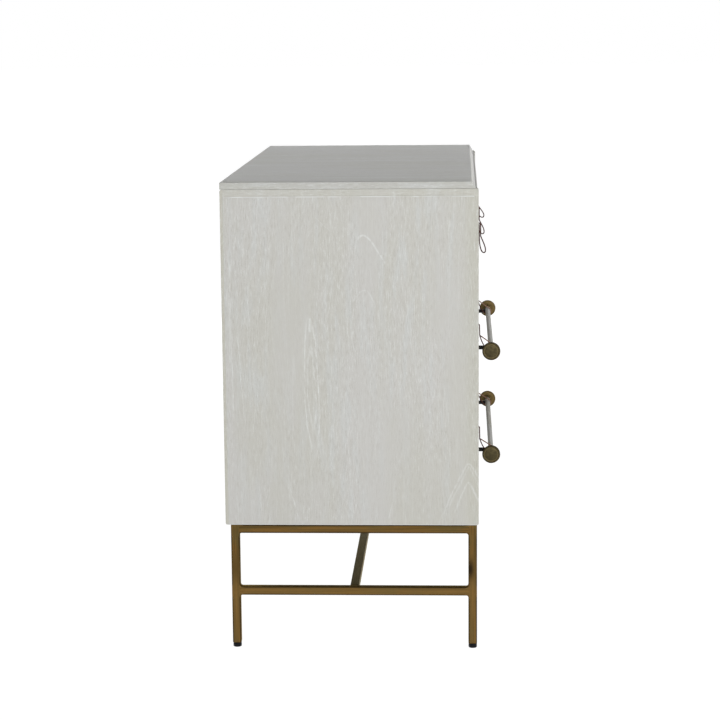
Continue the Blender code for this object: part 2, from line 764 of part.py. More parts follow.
def tube_mesh(name, points, radius, knots=False):
    """Make a round tube along points, with knots at its ends where asked."""
    curve = bpy.data.curves.new(name, "CURVE")
    curve.dimensions = "3D"
    curve.bevel_depth = radius
    curve.bevel_resolution = LACE_SIDES_RESOLUTION
    curve.use_fill_caps = True
    spline = curve.splines.new("POLY")
    spline.points.add(len(points) - 1)
    for place, point in zip(spline.points, points):
        place.co = (*point, 1)
    if knots:
        for index, share in enumerate(LACE_KNOT_SHARES):
            spline.points[index].radius = share
            spline.points[-1 - index].radius = share
    shape = bpy.data.objects.new(name, curve)
    PARTS.objects.link(shape)
    return mesh_of(shape)


def bore_front(bores, name, route):
    """Bore a drawer front for a lace's two strands, straight and then round the outer bend."""
    radius = LACE_DIAMETER / 2 + SEAT_GAP
    bend_start = LACE_TAIL_STEPS + LACE_HOLE_STEPS
    bend_end = bend_start + LACE_BEND_STEPS
    for word, strand in (("a", route), ("b", list(reversed(route)))):
        behind = strand[LACE_TAIL_STEPS] + Vector((0, CUT_OVERRUN, 0))
        bore = [behind] + strand[bend_start : bend_end + 1]
        mesh = tube_mesh(f"{name}_hole_{word}", bore, radius)
        make_cutter(f"{name}_hole_{word}", mesh, (0, 0, 0), cutters=bores)


def build_lace(name, route, middle, handle, bores):
    """Make a lace along a route about a place on a drawer's face, and bore its holes."""
    points = [point + middle for point in route]
    gap, length = least_gap(points, LACE_DIAMETER)
    print(f"{name}: least gap to itself {gap:.5f}, length {length:.5f}")
    mesh = tube_mesh(name, points, LACE_DIAMETER / 2, knots=True)
    mesh.shade_smooth()
    piece = place_mesh(name, mesh, (0, 0, 0), RED_BROWN_LEATHER, handle)
    bore_front(bores, name, points)
    return piece


def build_rod(name, place, handle):
    """Make the bar between the discs, its mesh turned to lie along X."""
    half = BAR_LENGTH / 2 - DISC_THICKNESS - SEAT_GAP
    radius = ROD_DIAMETER / 2
    profile = (
        (0, half),
        (radius - ROD_EDGE, half),
        (radius, half - ROD_EDGE),
        (radius, ROD_EDGE - half),
        (radius - ROD_EDGE, -half),
        (0, -half),
    )
    mesh = turned_mesh(name, profile)
    mesh.transform(Matrix.Rotation(math.radians(90), 4, "Y"))
    place_mesh(name, mesh, place, SATIN_NICKEL, handle)


def disc_mesh():
    """Make an end disc along Z, with its ringed face up and its hollow hub below."""
    radius = DISC_DIAMETER / 2
    bore = ROD_DIAMETER / 2 + SEAT_GAP
    rings = [radius * share for share in DISC_RING_SHARES]
    profile = (
        (0, DISC_THICKNESS),
        (rings[0], DISC_THICKNESS),
        (rings[1], DISC_THICKNESS - DISC_RING_DEPTH),
        (rings[2], DISC_THICKNESS - DISC_RING_DEPTH),
        (rings[3], DISC_THICKNESS),
        (radius - DISC_RIM_ROUND, DISC_THICKNESS),
        (radius - DISC_RIM_ROUND / 3, DISC_THICKNESS - DISC_RIM_ROUND / 3),
        (radius, DISC_THICKNESS - DISC_RIM_ROUND),
        (radius, DISC_RIM_ROUND / 2),
        (radius - DISC_RIM_ROUND / 2, 0),
        (HUB_DIAMETER / 2, 0),
        (HUB_DIAMETER / 2, -HUB_LENGTH),
        (bore, -HUB_LENGTH),
        (bore, 0),
        (0, 0),
    )
    return turned_mesh("disc", profile)


def post_mesh():
    """Make a post along Z, its outer end up: post, shank through the front, and nut."""
    post, shank, nut = POST_DIAMETER / 2, POST_SHANK_DIAMETER / 2, POST_NUT_DIAMETER / 2
    outer = ROD_STANDOFF - ROD_DIAMETER / 2 - SEAT_GAP
    nut_top = -FRONT_THICKNESS - SEAT_GAP
    profile = (
        (0, outer),
        (post, outer),
        (post, SEAT_GAP),
        (shank, SEAT_GAP),
        (shank, nut_top),
        (nut, nut_top),
        (nut, nut_top - POST_NUT_HEIGHT),
        (0, nut_top - POST_NUT_HEIGHT),
    )
    return turned_mesh("post", profile, SMALL_TURNED_STEPS)


def build_bar_pull(drawer, handle, bores):
    """Make a bar pull: rod, end discs, posts and the laces round them."""
    rod_z = row_middle(drawer.row) - ROD_DROP
    rod_y = FACE_Y - ROD_STANDOFF
    name = drawer.name + "_bar"
    build_rod(name, (0, rod_y, rod_z), handle)
    hole = plain_profile(
        POST_SHANK_DIAMETER / 2 + SEAT_GAP, -FRONT_THICKNESS - CUT_OVERRUN, CUT_OVERRUN
    )
    hole_mesh = turned_mesh("shank_hole", hole, SMALL_TURNED_STEPS)
    outward = Matrix.Rotation(math.radians(90), 4, "X")
    for word, sign in SIDES:
        disc = disc_mesh()
        disc.transform(Matrix.Rotation(math.radians(90 * sign), 4, "Y"))
        disc_x = sign * (BAR_LENGTH / 2 - DISC_THICKNESS)
        place_mesh(f"{name}_disc_{word}", disc, (disc_x, rod_y, rod_z), AGED_BRASS, handle)
        post_x = sign * POST_SPACING / 2
        post = post_mesh()
        post.transform(outward)
        place_mesh(f"{name}_post_{word}", post, (post_x, FACE_Y, rod_z), BLACK_STEEL, handle)
        place = (post_x, FACE_Y, rod_z)
        make_cutter(f"{name}_hole_{word}", hole_mesh, place, math.radians(90), bores)
        middle = Vector((post_x, FACE_Y, row_middle(drawer.row)))
        build_lace(f"{name}_lace_{word}", lash_route(drawer.row), middle, handle, bores)


def build_drawers():
    """Make the five drawers and their runners."""
    for index, drawer in enumerate(drawer_list()):
        handle = drawer_handle(drawer)
        front = build_drawer_front(drawer, handle)
        box = build_drawer_box(drawer, handle)
        build_drawer_bottom(drawer, handle, front, box)
        build_runners(drawer)
        bores = make_collection(drawer.name + "_bores", hidden=True)
        if index < SMALL_DRAWER_COUNT:
            middle = Vector((drawer.center_x, FACE_Y, row_middle(drawer.row)))
            name = drawer.name + "_lace_loop"
            build_lace(name, loop_route(index), middle, handle, bores)
        else:
            build_bar_pull(drawer, handle, bores)
        cut_all(front, bores)


def main():
    """Build the whole dresser."""
    build_side_panels()
    build_top_slab()
    build_carcass()
    build_end_frames()
    build_long_rails()
    build_glides()
    build_drawers()
    print("pieces:", len([piece for piece in PARTS.objects if piece.type == "MESH"]))


clear_scene()
PARTS = make_collection("dresser")
CUTTERS = make_collection("cutters", hidden=True)
main()
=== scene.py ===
"""The looks of a dresser: a cerused wood case on a bronze tube base, with bar and lace pulls.

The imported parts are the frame. Each class holds the sizes of one sub-assembly, works out its
surfaces with numpy and dresses them. Lengths are in metres, the front faces -Y and +Z is up.
"""

import logging
import math
from dataclasses import dataclass, field
from enum import Enum
from typing import Callable, Sequence

import bmesh
import bpy
import numpy as np
from mathutils import Euler, Matrix, Vector


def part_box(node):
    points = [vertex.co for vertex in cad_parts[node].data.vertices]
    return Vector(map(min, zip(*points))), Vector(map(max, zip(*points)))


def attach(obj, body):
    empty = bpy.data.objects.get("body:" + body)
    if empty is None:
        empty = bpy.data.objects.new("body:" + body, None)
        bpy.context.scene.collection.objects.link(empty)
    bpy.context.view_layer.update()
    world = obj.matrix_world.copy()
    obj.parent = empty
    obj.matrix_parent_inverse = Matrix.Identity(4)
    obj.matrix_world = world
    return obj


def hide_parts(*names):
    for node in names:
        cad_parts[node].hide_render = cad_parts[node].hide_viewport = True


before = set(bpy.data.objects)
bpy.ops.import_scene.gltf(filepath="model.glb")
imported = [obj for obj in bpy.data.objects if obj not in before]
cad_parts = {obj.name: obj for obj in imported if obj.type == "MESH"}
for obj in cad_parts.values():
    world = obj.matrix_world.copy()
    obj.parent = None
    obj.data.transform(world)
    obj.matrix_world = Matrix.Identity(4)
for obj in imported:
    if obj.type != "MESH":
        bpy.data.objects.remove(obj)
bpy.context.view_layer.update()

LOG = logging.getLogger("dresser")
Array = np.ndarray
Piece = bpy.types.Object
Numbers = Sequence[float]
Triple = tuple[float, float, float]

CASE = "case"
SEAT_GAP = 0.0003
SIDES = (("left", -1), ("right", 1))
QUARTER = math.pi / 2
CIRCLE = 2 * math.pi


class GrainAxis(Enum):
    """The way that a board's grain runs."""

    ALONG_X = 0
    ALONG_Y = 1
    ALONG_Z = 2


class Turn(Enum):
    """The way that a turned piece's upper end points, as the axes of its radius and height."""

    UP = ((1, 0, 0), (0, 1, 0), (0, 0, 1))
    TO_LEFT = ((0, 0, 1), (0, 1, 0), (-1, 0, 0))
    TO_RIGHT = ((0, 1, 0), (0, 0, 1), (1, 0, 0))
    TO_FRONT = ((1, 0, 0), (0, 0, 1), (0, -1, 0))
    TO_BACK = ((0, 0, 1), (1, 0, 0), (0, 1, 0))


# ---------------------------------------------------------------- surfaces


@dataclass
class Shell:
    """A closed surface: its points, its faces, and numbers or vectors marked on its points."""

    points: Array
    faces: list
    marks: dict[str, Array] = field(default_factory=dict)


def srgb(*levels: float) -> Triple:
    """Turn an sRGB colour of 0 to 255 into linear light."""
    share = np.array(levels) / 255
    return tuple(np.where(share <= 0.04045, share / 12.92, ((share + 0.055) / 1.055) ** 2.4).tolist())


def unit(vectors: Array) -> Array:
    """Give each vector a length of one."""
    return vectors / np.linalg.norm(vectors, axis=-1, keepdims=True)


def smooth_share(values: Array, low: float, high: float) -> Array:
    """Ease from 0 below low to 1 above high, as 3t^2 - 2t^3."""
    share = np.clip((values - low) / (high - low), 0, 1)
    return share * share * (3 - 2 * share)


def ring_of(angle: Array) -> Array:
    """Give the points of a unit circle at some angles."""
    return np.stack((np.cos(angle), np.sin(angle)), -1)


def grid_faces(rows: int, columns: int, wrap: bool = False) -> Array:
    """List the quads of a grid of points.

    Args:
        rows: How many rows the grid has.
        columns: How many points each row has.
        wrap: Whether each row closes on itself.

    Returns:
        Four point indices for each quad.
    """
    i, j = np.meshgrid(np.arange(rows - 1), np.arange(columns - (not wrap)), indexing="ij")
    after = (j + 1) % columns
    quads = (i * columns + j, (i + 1) * columns + j, (i + 1) * columns + after, i * columns + after)
    return np.stack(quads, -1).reshape(-1, 4)


def carried(path: Array, across: Array | Triple, up: Array | Triple, section: Array) -> Shell:
    """Carry a closed section along a path, capped at both ends.

    Point (i, j) is path i, plus section (i, j)'s first value times across i, plus its second
    value times up i.

    Args:
        path: The points of the path, one row each.
        across: The section's first axis, at each point or at all of them.
        up: The section's second axis, likewise.
        section: The section's offsets, as rows by points by two.

    Returns:
        The closed shell.
    """
    across, up = (np.broadcast_to(axis, path.shape)[:, None] for axis in (across, up))
    points = path[:, None] + section[..., :1] * across + section[..., 1:] * up
    rows, columns = section.shape[:2]
    faces = grid_faces(rows, columns, wrap=True).tolist()
    faces += [list(range(columns)), list(range((rows - 1) * columns, rows * columns))[::-1]]
    return Shell(points.reshape(-1, 3), faces)


def turned(profile: Sequence[Numbers], place: Numbers, turn: Turn, steps: int) -> Shell:
    """Turn a profile of radius r and height h about its axis.

    A point is place + r cos(a) first axis + r sin(a) second axis + h third axis, for angle a.

    Args:
        profile: Radius and height from the lower pole to the upper one.
        place: The foot of the axis.
        turn: Which way the axis points.
        steps: How many points go round.

    Returns:
        The closed shell.
    """
    outline = np.array(profile, float)
    flat = outline[:, None, :1] * ring_of(np.arange(steps) * CIRCLE / steps)
    height = np.broadcast_to(outline[:, None, 1:], (len(outline), steps, 1))
    points = np.asarray(place, float) + np.concatenate((flat, height), -1) @ np.array(turn.value, float)
    return Shell(points.reshape(-1, 3), grid_faces(len(outline), steps, wrap=True).tolist())


def plate(face: Array, back: Array) -> Shell:
    """Close two equal grids of points into a plate by joining them round their edges.

    Args:
        face: The grid of the outer side.
        back: The grid of the inner side.

    Returns:
        The closed shell.
    """
    rows, columns = face.shape[:2]
    index = np.arange(rows * columns).reshape(rows, columns)
    edge = np.concatenate((index[0], index[1:, -1], index[-1, -2::-1], index[-2:0:-1, 0]))
    after, count = np.roll(edge, -1), rows * columns
    front = grid_faces(rows, columns)
    wall = np.stack((edge, after, after + count, edge + count), -1)
    faces = np.concatenate((front, front[:, ::-1] + count, wall))
    return Shell(np.concatenate((face.reshape(-1, 3), back.reshape(-1, 3))), faces.tolist())


def joined(shells: Sequence[Shell]) -> Shell:
    """Put several shells, marked alike, into one.

    Args:
        shells: The shells.

    Returns:
        One shell with all their points, faces and marks.
    """
    starts = np.cumsum([0] + [len(shell.points) for shell in shells[:-1]]).tolist()
    pairs = zip(shells, starts)
    faces = [[index + start for index in face] for shell, start in pairs for face in shell.faces]
    marks = {name: np.concatenate([shell.marks[name] for shell in shells]) for name in shells[0].marks}
    return Shell(np.concatenate([shell.points for shell in shells]), faces, marks)


def rounded_ends(low: float, high: float, radius: float) -> tuple[Array, Array]:
    """Place stations along both roundings, r (1 - cos a) in from each end, of an edge."""
    offsets = radius * (1 - np.cos(np.linspace(0, QUARTER, 5)))
    return low + offsets, high - offsets[::-1]


def edge_fall(places: Sequence[Array], low: Numbers, high: Numbers, radius: float) -> Array:
    """Say how far a plate's face falls away at its rounded edges.

    It is r - sqrt(r^2 - a^2 - b^2), where a and b say how far a point lies into a rounding.

    Args:
        places: The face's two coordinates.
        low: Where each coordinate starts.
        high: Where each coordinate ends.
        radius: The rounding's radius r.

    Returns:
        The fall at each point.
    """
    depths = (np.minimum(value - start, end - value) for value, start, end in zip(places, low, high))
    a, b = (np.clip(radius - depth, 0, radius) for depth in depths)
    return radius - np.sqrt(np.clip(radius**2 - a**2 - b**2, 0, None))


def quarter_arc(r: float, h: float, radius: float, start: float = -QUARTER) -> list:
    """Give radius and height of the points of a quarter circle about (r, h), from an angle on."""
    return ((r, h) + radius * ring_of(start + np.linspace(0, QUARTER, 6))).tolist()


def put(name: str, data: bpy.types.ID) -> Piece:
    """Put a mesh, a lamp or a lens into the scene.

    Args:
        name: Its name.
        data: The mesh, lamp or lens itself.

    Returns:
        The object that holds it.
    """
    thing = bpy.data.objects.new(name, data)
    bpy.context.scene.collection.objects.link(thing)
    return thing


@dataclass(frozen=True)
class Place:
    """Where a piece belongs: its body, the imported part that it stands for, and its slot."""

    body: str
    node: str
    slot: str

    def make(self, name: str, shell: Shell, finish: "Finish", sharp: float) -> Piece:
        """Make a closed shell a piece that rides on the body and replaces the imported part.

        Args:
            name: The piece's name.
            shell: Its surface.
            finish: What dresses it.
            sharp: The angle, in degrees, from which an edge is drawn sharp.

        Returns:
            The finished piece.
        """
        mesh = bpy.data.meshes.new(name)
        mesh.from_pydata(shell.points.tolist(), [], shell.faces)
        for label, values in shell.marks.items():
            kind, part = ("FLOAT_VECTOR", "vector") if values.ndim > 1 else ("FLOAT", "value")
            attribute = mesh.attributes.new(label, kind, "POINT")
            attribute.data.foreach_set(part, values.astype(np.float32).ravel())
        solid = bmesh.new()
        solid.from_mesh(mesh)
        bmesh.ops.remove_doubles(solid, verts=solid.verts, dist=1e-7)
        bmesh.ops.dissolve_degenerate(solid, edges=solid.edges, dist=1e-7)
        bmesh.ops.recalc_face_normals(solid, faces=solid.faces)
        solid.to_mesh(mesh)
        solid.free()
        mesh.shade_smooth()
        mesh.set_sharp_from_angle(angle=math.radians(sharp))
        mesh.materials.append(finish.material(name + "_finish"))
        piece = put(name, mesh)
        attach(piece, self.body)
        if self.node:
            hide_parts(self.node)
        LOG.info("made %s: %d faces, on %s", name, len(mesh.polygons), self.body)
        return piece


def dress_node(node: str, finish: "Finish") -> None:
    """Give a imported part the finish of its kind.

    Args:
        node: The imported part.
        finish: What dresses it.
    """
    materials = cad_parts[node].data.materials
    materials.clear()
    materials.append(finish.material(node + "_finish"))
    LOG.info("dressed %s", node)


# ---------------------------------------------------------------- finishes


def operator(operation: str) -> Callable:
    """Make an operator of Signal that adds a Math node of one kind.

    Args:
        operation: The Math node's operation.

    Returns:
        The method that does the sum.
    """

    def work(first: "Signal", *others: "Signal | float") -> "Signal":
        """Do the sum on this signal and the others."""
        return first.sheet.node("Math", first, *others, operation=operation)

    return work


@dataclass(frozen=True)
class Signal:
    """A number, vector or colour on its way through a node sheet. Sums on it add nodes."""

    sheet: "NodeSheet"
    socket: bpy.types.NodeSocket

    __add__, __sub__, __mul__, __truediv__ = map(operator, ("ADD", "SUBTRACT", "MULTIPLY", "DIVIDE"))
    __or__, __and__, __abs__ = map(operator, ("MAXIMUM", "MINIMUM", "ABSOLUTE"))
    root, sine, fold = map(operator, ("SQRT", "SINE", "PINGPONG"))

    def band(
        self, low: float, high: float, start: float = 0, end: float = 1, kind: str = "SMOOTHSTEP"
    ) -> "Signal":
        """Ease from start at low to end at high."""
        return self.sheet.node("MapRange", self, low, high, start, end, interpolation_type=kind)

    def within(self, low: float, high: float, soft: float) -> "Signal":
        """Give 1 between two numbers and 0 beyond them, with soft ends."""
        return self.band(low - soft, low + soft) * self.band(high - soft, high + soft, 1, 0)

    def shift(self, share: "Signal", amounts: Triple) -> "Signal":
        """Move a vector by a share of some amounts."""
        return self.sheet.node("VectorMath", share, amounts, self, operation="MULTIPLY_ADD")

    def split(self) -> tuple["Signal", ...]:
        """Take a vector's three numbers."""
        whole = self.sheet.node("SeparateXYZ", self)
        return tuple(Signal(self.sheet, socket) for socket in whole.socket.node.outputs)

    def noise(
        self, scale: float | Triple, detail: float = 2, rough: float = 0.5, bend: float = 0
    ) -> "Signal":
        """Give a cloud of values about a half, at one scale or at one for each axis.

        Args:
            scale: The scale, or the three by which the vector is stretched first.
            detail: How many finer clouds lie over the first.
            rough: How strong the finer clouds are.
            bend: How far the cloud is bent by itself.

        Returns:
            The cloud's values.
        """
        vector, even = self, scale
        if isinstance(scale, tuple):
            vector, even = self.sheet.node("VectorMath", self, scale, operation="MULTIPLY"), 1
        cloud = self.sheet.node("TexNoise", vector)
        for name, value in (("Scale", even), ("Detail", detail), ("Roughness", rough), ("Distortion", bend)):
            cloud.socket.node.inputs[name].default_value = value
        return cloud

    def mix(self, first: "Signal | Triple", second: "Signal | Triple") -> "Signal":
        """Mix two colours, with this share of the second.

        Args:
            first: The colour at a share of 0.
            second: The colour at a share of 1.

        Returns:
            The mixed colour.
        """
        mixed = self.sheet.node("Mix", self, output=2, data_type="RGBA")
        for value, index in ((first, 6), (second, 7)):
            self.sheet.lead(value, mixed.socket.node.inputs[index])
        return mixed


class NodeSheet:
    """The node sheet of a material or of the world."""

    def __init__(self, owner: bpy.types.Material | bpy.types.World) -> None:
        """Open the owner's nodes."""
        owner.use_nodes = True
        self.nodes, self.links = owner.node_tree.nodes, owner.node_tree.links

    def lead(self, value: Signal | float | Triple, socket: bpy.types.NodeSocket) -> None:
        """Lead a value or a signal into a socket.

        Args:
            value: The signal, the number, or the colour without its alpha.
            socket: Where it goes.
        """
        if isinstance(value, Signal):
            self.links.new(value.socket, socket)
        elif isinstance(value, tuple) and len(value) < len(socket.default_value):
            socket.default_value = (*value, 1.0)
        else:
            socket.default_value = value

    def node(
        self, kind: str, *values: Signal | float | Triple, output: int | str = 0, **options: str
    ) -> Signal:
        """Add a node, set its options and lead values into its first sockets.

        Args:
            kind: The node's kind.
            values: What goes into its sockets, in order.
            output: Which of its outputs is wanted.
            options: Its own options.

        Returns:
            The output, as a signal.
        """
        node = self.nodes.new("ShaderNode" + kind)
        for name, option in options.items():
            setattr(node, name, option)
        for value, socket in zip(values, node.inputs):
            self.lead(value, socket)
        return Signal(self, node.outputs[output])

    def place(self, offset: Numbers = (0, 0, 0)) -> Signal:
        """Give the place on the piece, from a point that is offset from the origin."""
        coordinates = self.node("TexCoord", output="Object")
        return self.node("Mapping", coordinates, tuple(-value for value in offset))

    def attribute(self, name: str, output: str = "Fac") -> Signal:
        """Read one of the mesh's own attributes."""
        return self.node("Attribute", output=output, attribute_name=name)

    def bump(self, height: Signal, depth: float, strength: float) -> None:
        """Raise the surface by a height of 0 to 1 times a depth.

        Args:
            height: The height at each place.
            depth: The depth, negative where high places sink.
            strength: How much of the relief is shown.
        """
        raised = self.node("Bump", output="Normal")
        for name, value in (("Strength", strength), ("Distance", depth), ("Height", height)):
            self.lead(value, raised.socket.node.inputs[name])
        self.finish(normal=raised)

    def finish(self, **sockets: Signal | float | Triple) -> None:
        """Lead values into the shader's sockets, named in lower case with underscores.

        Args:
            sockets: The values, by their sockets' names.
        """
        for name, value in sockets.items():
            socket = name.replace("_", " ").title().replace("Ior", "IOR")
            self.lead(value, self.nodes["Principled BSDF"].inputs[socket])

    def show(self, plain: bpy.types.Node, seen: bpy.types.Node, output: str) -> None:
        """Show seen to the lens, to mirrors and through clear things, and plain to all else.

        Args:
            plain: The shader's node for all else.
            seen: The shader's node for the lens.
            output: The name of the sheet's output node.
        """
        rays = self.node("LightPath").socket.node.outputs
        share = Signal(self, rays["Is Camera Ray"])
        for name in ("Is Glossy Ray", "Is Transmission Ray"):
            share = share | Signal(self, rays[name])
        shaders = (Signal(self, node.outputs[0]) for node in (plain, seen))
        self.lead(self.node("MixShader", share, *shaders), self.nodes[output].inputs["Surface"])


class Finish:
    """What every finish can do: make its material."""

    def material(self, name: str) -> bpy.types.Material:
        """Make the finish's material under a name.

        Args:
            name: The material's name.

        Returns:
            The material.
        """
        material = bpy.data.materials.new(name)
        self.paint(NodeSheet(material))
        return material

    def paint(self, sheet: NodeSheet) -> None:
        """Draw the finish in its sheet."""
        raise NotImplementedError


class FigureKind(Enum):
    """How a figure of the grain is drawn."""

    ARCH = "two limbs that part from a crown"
    EYE = "a long closed lens"
    STROKE = "a slanting line"


ARCH, EYE, STROKE = FigureKind


@dataclass(frozen=True)
class GrainFigure:
    """One figure of the grain on a side, where wax lies thick.

    With v along the grain from its middle or crown, and u across it from its own leaning axis:
    an arch is v = sqrt(crown^2 + (u / width)^2) - crown, an eye is (u / width)^2 +
    (v / length)^2 = 1, and a stroke is u = 0 for v within half its length. An arch's limb
    towards the back fades out where u passes limb.
    """

    kind: FigureKind
    y: float
    z: float
    width: float
    length: float
    lean: float = 0.0
    strength: float = 1.0
    crown: float = 0.012
    limb: float = 1.0
    rings: int = 1
    line: float = 0.0010
    ring_step: float = 0.0055

    def away(self, u: Signal, v: Signal) -> Signal:
        """Give the distance from the figure's line, positive inside it.

        Args:
            u: The place across the grain.
            v: The place along it.

        Returns:
            The distance.
        """
        if self.kind is STROKE:
            return abs(u)
        part = u / self.width
        if self.kind is EYE:
            tall = v / self.length
            return ((part * part + tall * tall).root() - 1.0) * -self.width
        s = (part * part + self.crown**2).root()
        slope = part / (s * self.width)
        return (v + self.crown - s) / (slope * slope + 1.0).root()

    def draw(self, place: Signal) -> Signal:
        """Draw the figure's line and its inner rings, fading towards its ends.

        Args:
            place: The place on the side.

        Returns:
            The wax, from 0 to 1.
        """
        _, y, z = place.split()
        down = z * -1.0 + self.z
        u = y - self.y + down * self.lean
        away = self.away(u, down)
        lines: Signal | float = 0.0
        for ring in range(self.rings):
            near = abs(away - self.ring_step * ring)
            lines = near.band(self.line * 0.3, self.line * 1.4, 1.0 - 0.35 * ring, 0.0) | lines
        reach = self.length / 2 if self.kind is STROKE else self.length
        left = self.strength * 0.25 if self.kind is EYE else 0.0
        fade = abs(down).band(reach * 0.7, reach * 1.04, self.strength, left)
        if self.limb < 1:
            fade = fade * u.band(self.limb * 0.5, self.limb * 1.2, 1.0, 0.0)
        return lines * fade


@dataclass(frozen=True)
class GrainZone:
    """A soft-edged zone of a side where the grain is busier, or calmer where gain is negative."""

    y: float
    half_y: float
    z: float
    half_z: float
    gain: float

    def share(self, place: Signal) -> Signal:
        """Give the gain within the zone, fading out to nothing at its sides and ends.

        Args:
            place: The place on the side.

        Returns:
            The gain at each place.
        """
        _, y, z = place.split()
        beside = abs(y - self.y).band(self.half_y * 0.6, self.half_y * 1.5, self.gain, 0.0)
        return beside * abs(z - self.z).band(self.half_z * 0.85, self.half_z * 1.2, 1.0, 0.0)


@dataclass(frozen=True)
class PanelTrim:
    """Where a side's line runs, how far in from its edges it starts, and where the side ends."""

    front: float
    back: float
    line: float
    inset: float
    foot: float

    def level_above(self, place: Signal, ticks: Signal, level: Signal) -> Signal:
        """Let the grain run level above the line: take level there, and ticks below."""
        above = place.split()[2].band(self.line, self.line + 0.0002)
        return level * above + ticks * (above * -1.0 + 1.0)

    def warmth(self, place: Signal) -> Signal:
        """Give how far the lippings beside the edges and above the line are warmed.

        Args:
            place: The place on the side.

        Returns:
            The share of the lippings' colour.
        """
        _, y, z = place.split()
        front = y.band(self.front + 0.010, self.front + 0.032, 0.6, 0.0)
        back = y.band(self.back - 0.0065, self.back - 0.0050, 0.0, 0.8)
        return front | back | z.band(self.line - 0.0002, self.line + 0.0004, 0.0, 0.35)

    def marks(self, place: Signal) -> tuple[Signal, Signal]:
        """Give the painted shade on the line's upper flank, and the painted highlight, shown as wax, on its
        lower flank and along the side's foot.

        Args:
            place: The place on the side.

        Returns:
            The shares of painted shade and of painted highlight.
        """
        _, y, z = place.split()
        inside = y.within(self.front + self.inset, self.back - self.inset, 0.0002)
        left_in = place.noise((0.0, 17.0, 0.0), 3.0, 0.6).band(0.42, 0.56, 0.25, 1.0)
        # Painted shade on the line's upper flank, which faces down.
        dark = inside * z.within(self.line + 0.0002, self.line + 0.0014, 0.0003)
        # Painted highlight on its lower flank, which faces up, shown as wax.
        light = inside * z.within(self.line - 0.0017, self.line - 0.0002, 0.0003)
        # The second share also paints a highlight along the side's lower edge.
        return dark * 0.4, light * left_in | z.band(self.foot + 0.0006, self.foot + 0.0022, 0.5, 0.0)


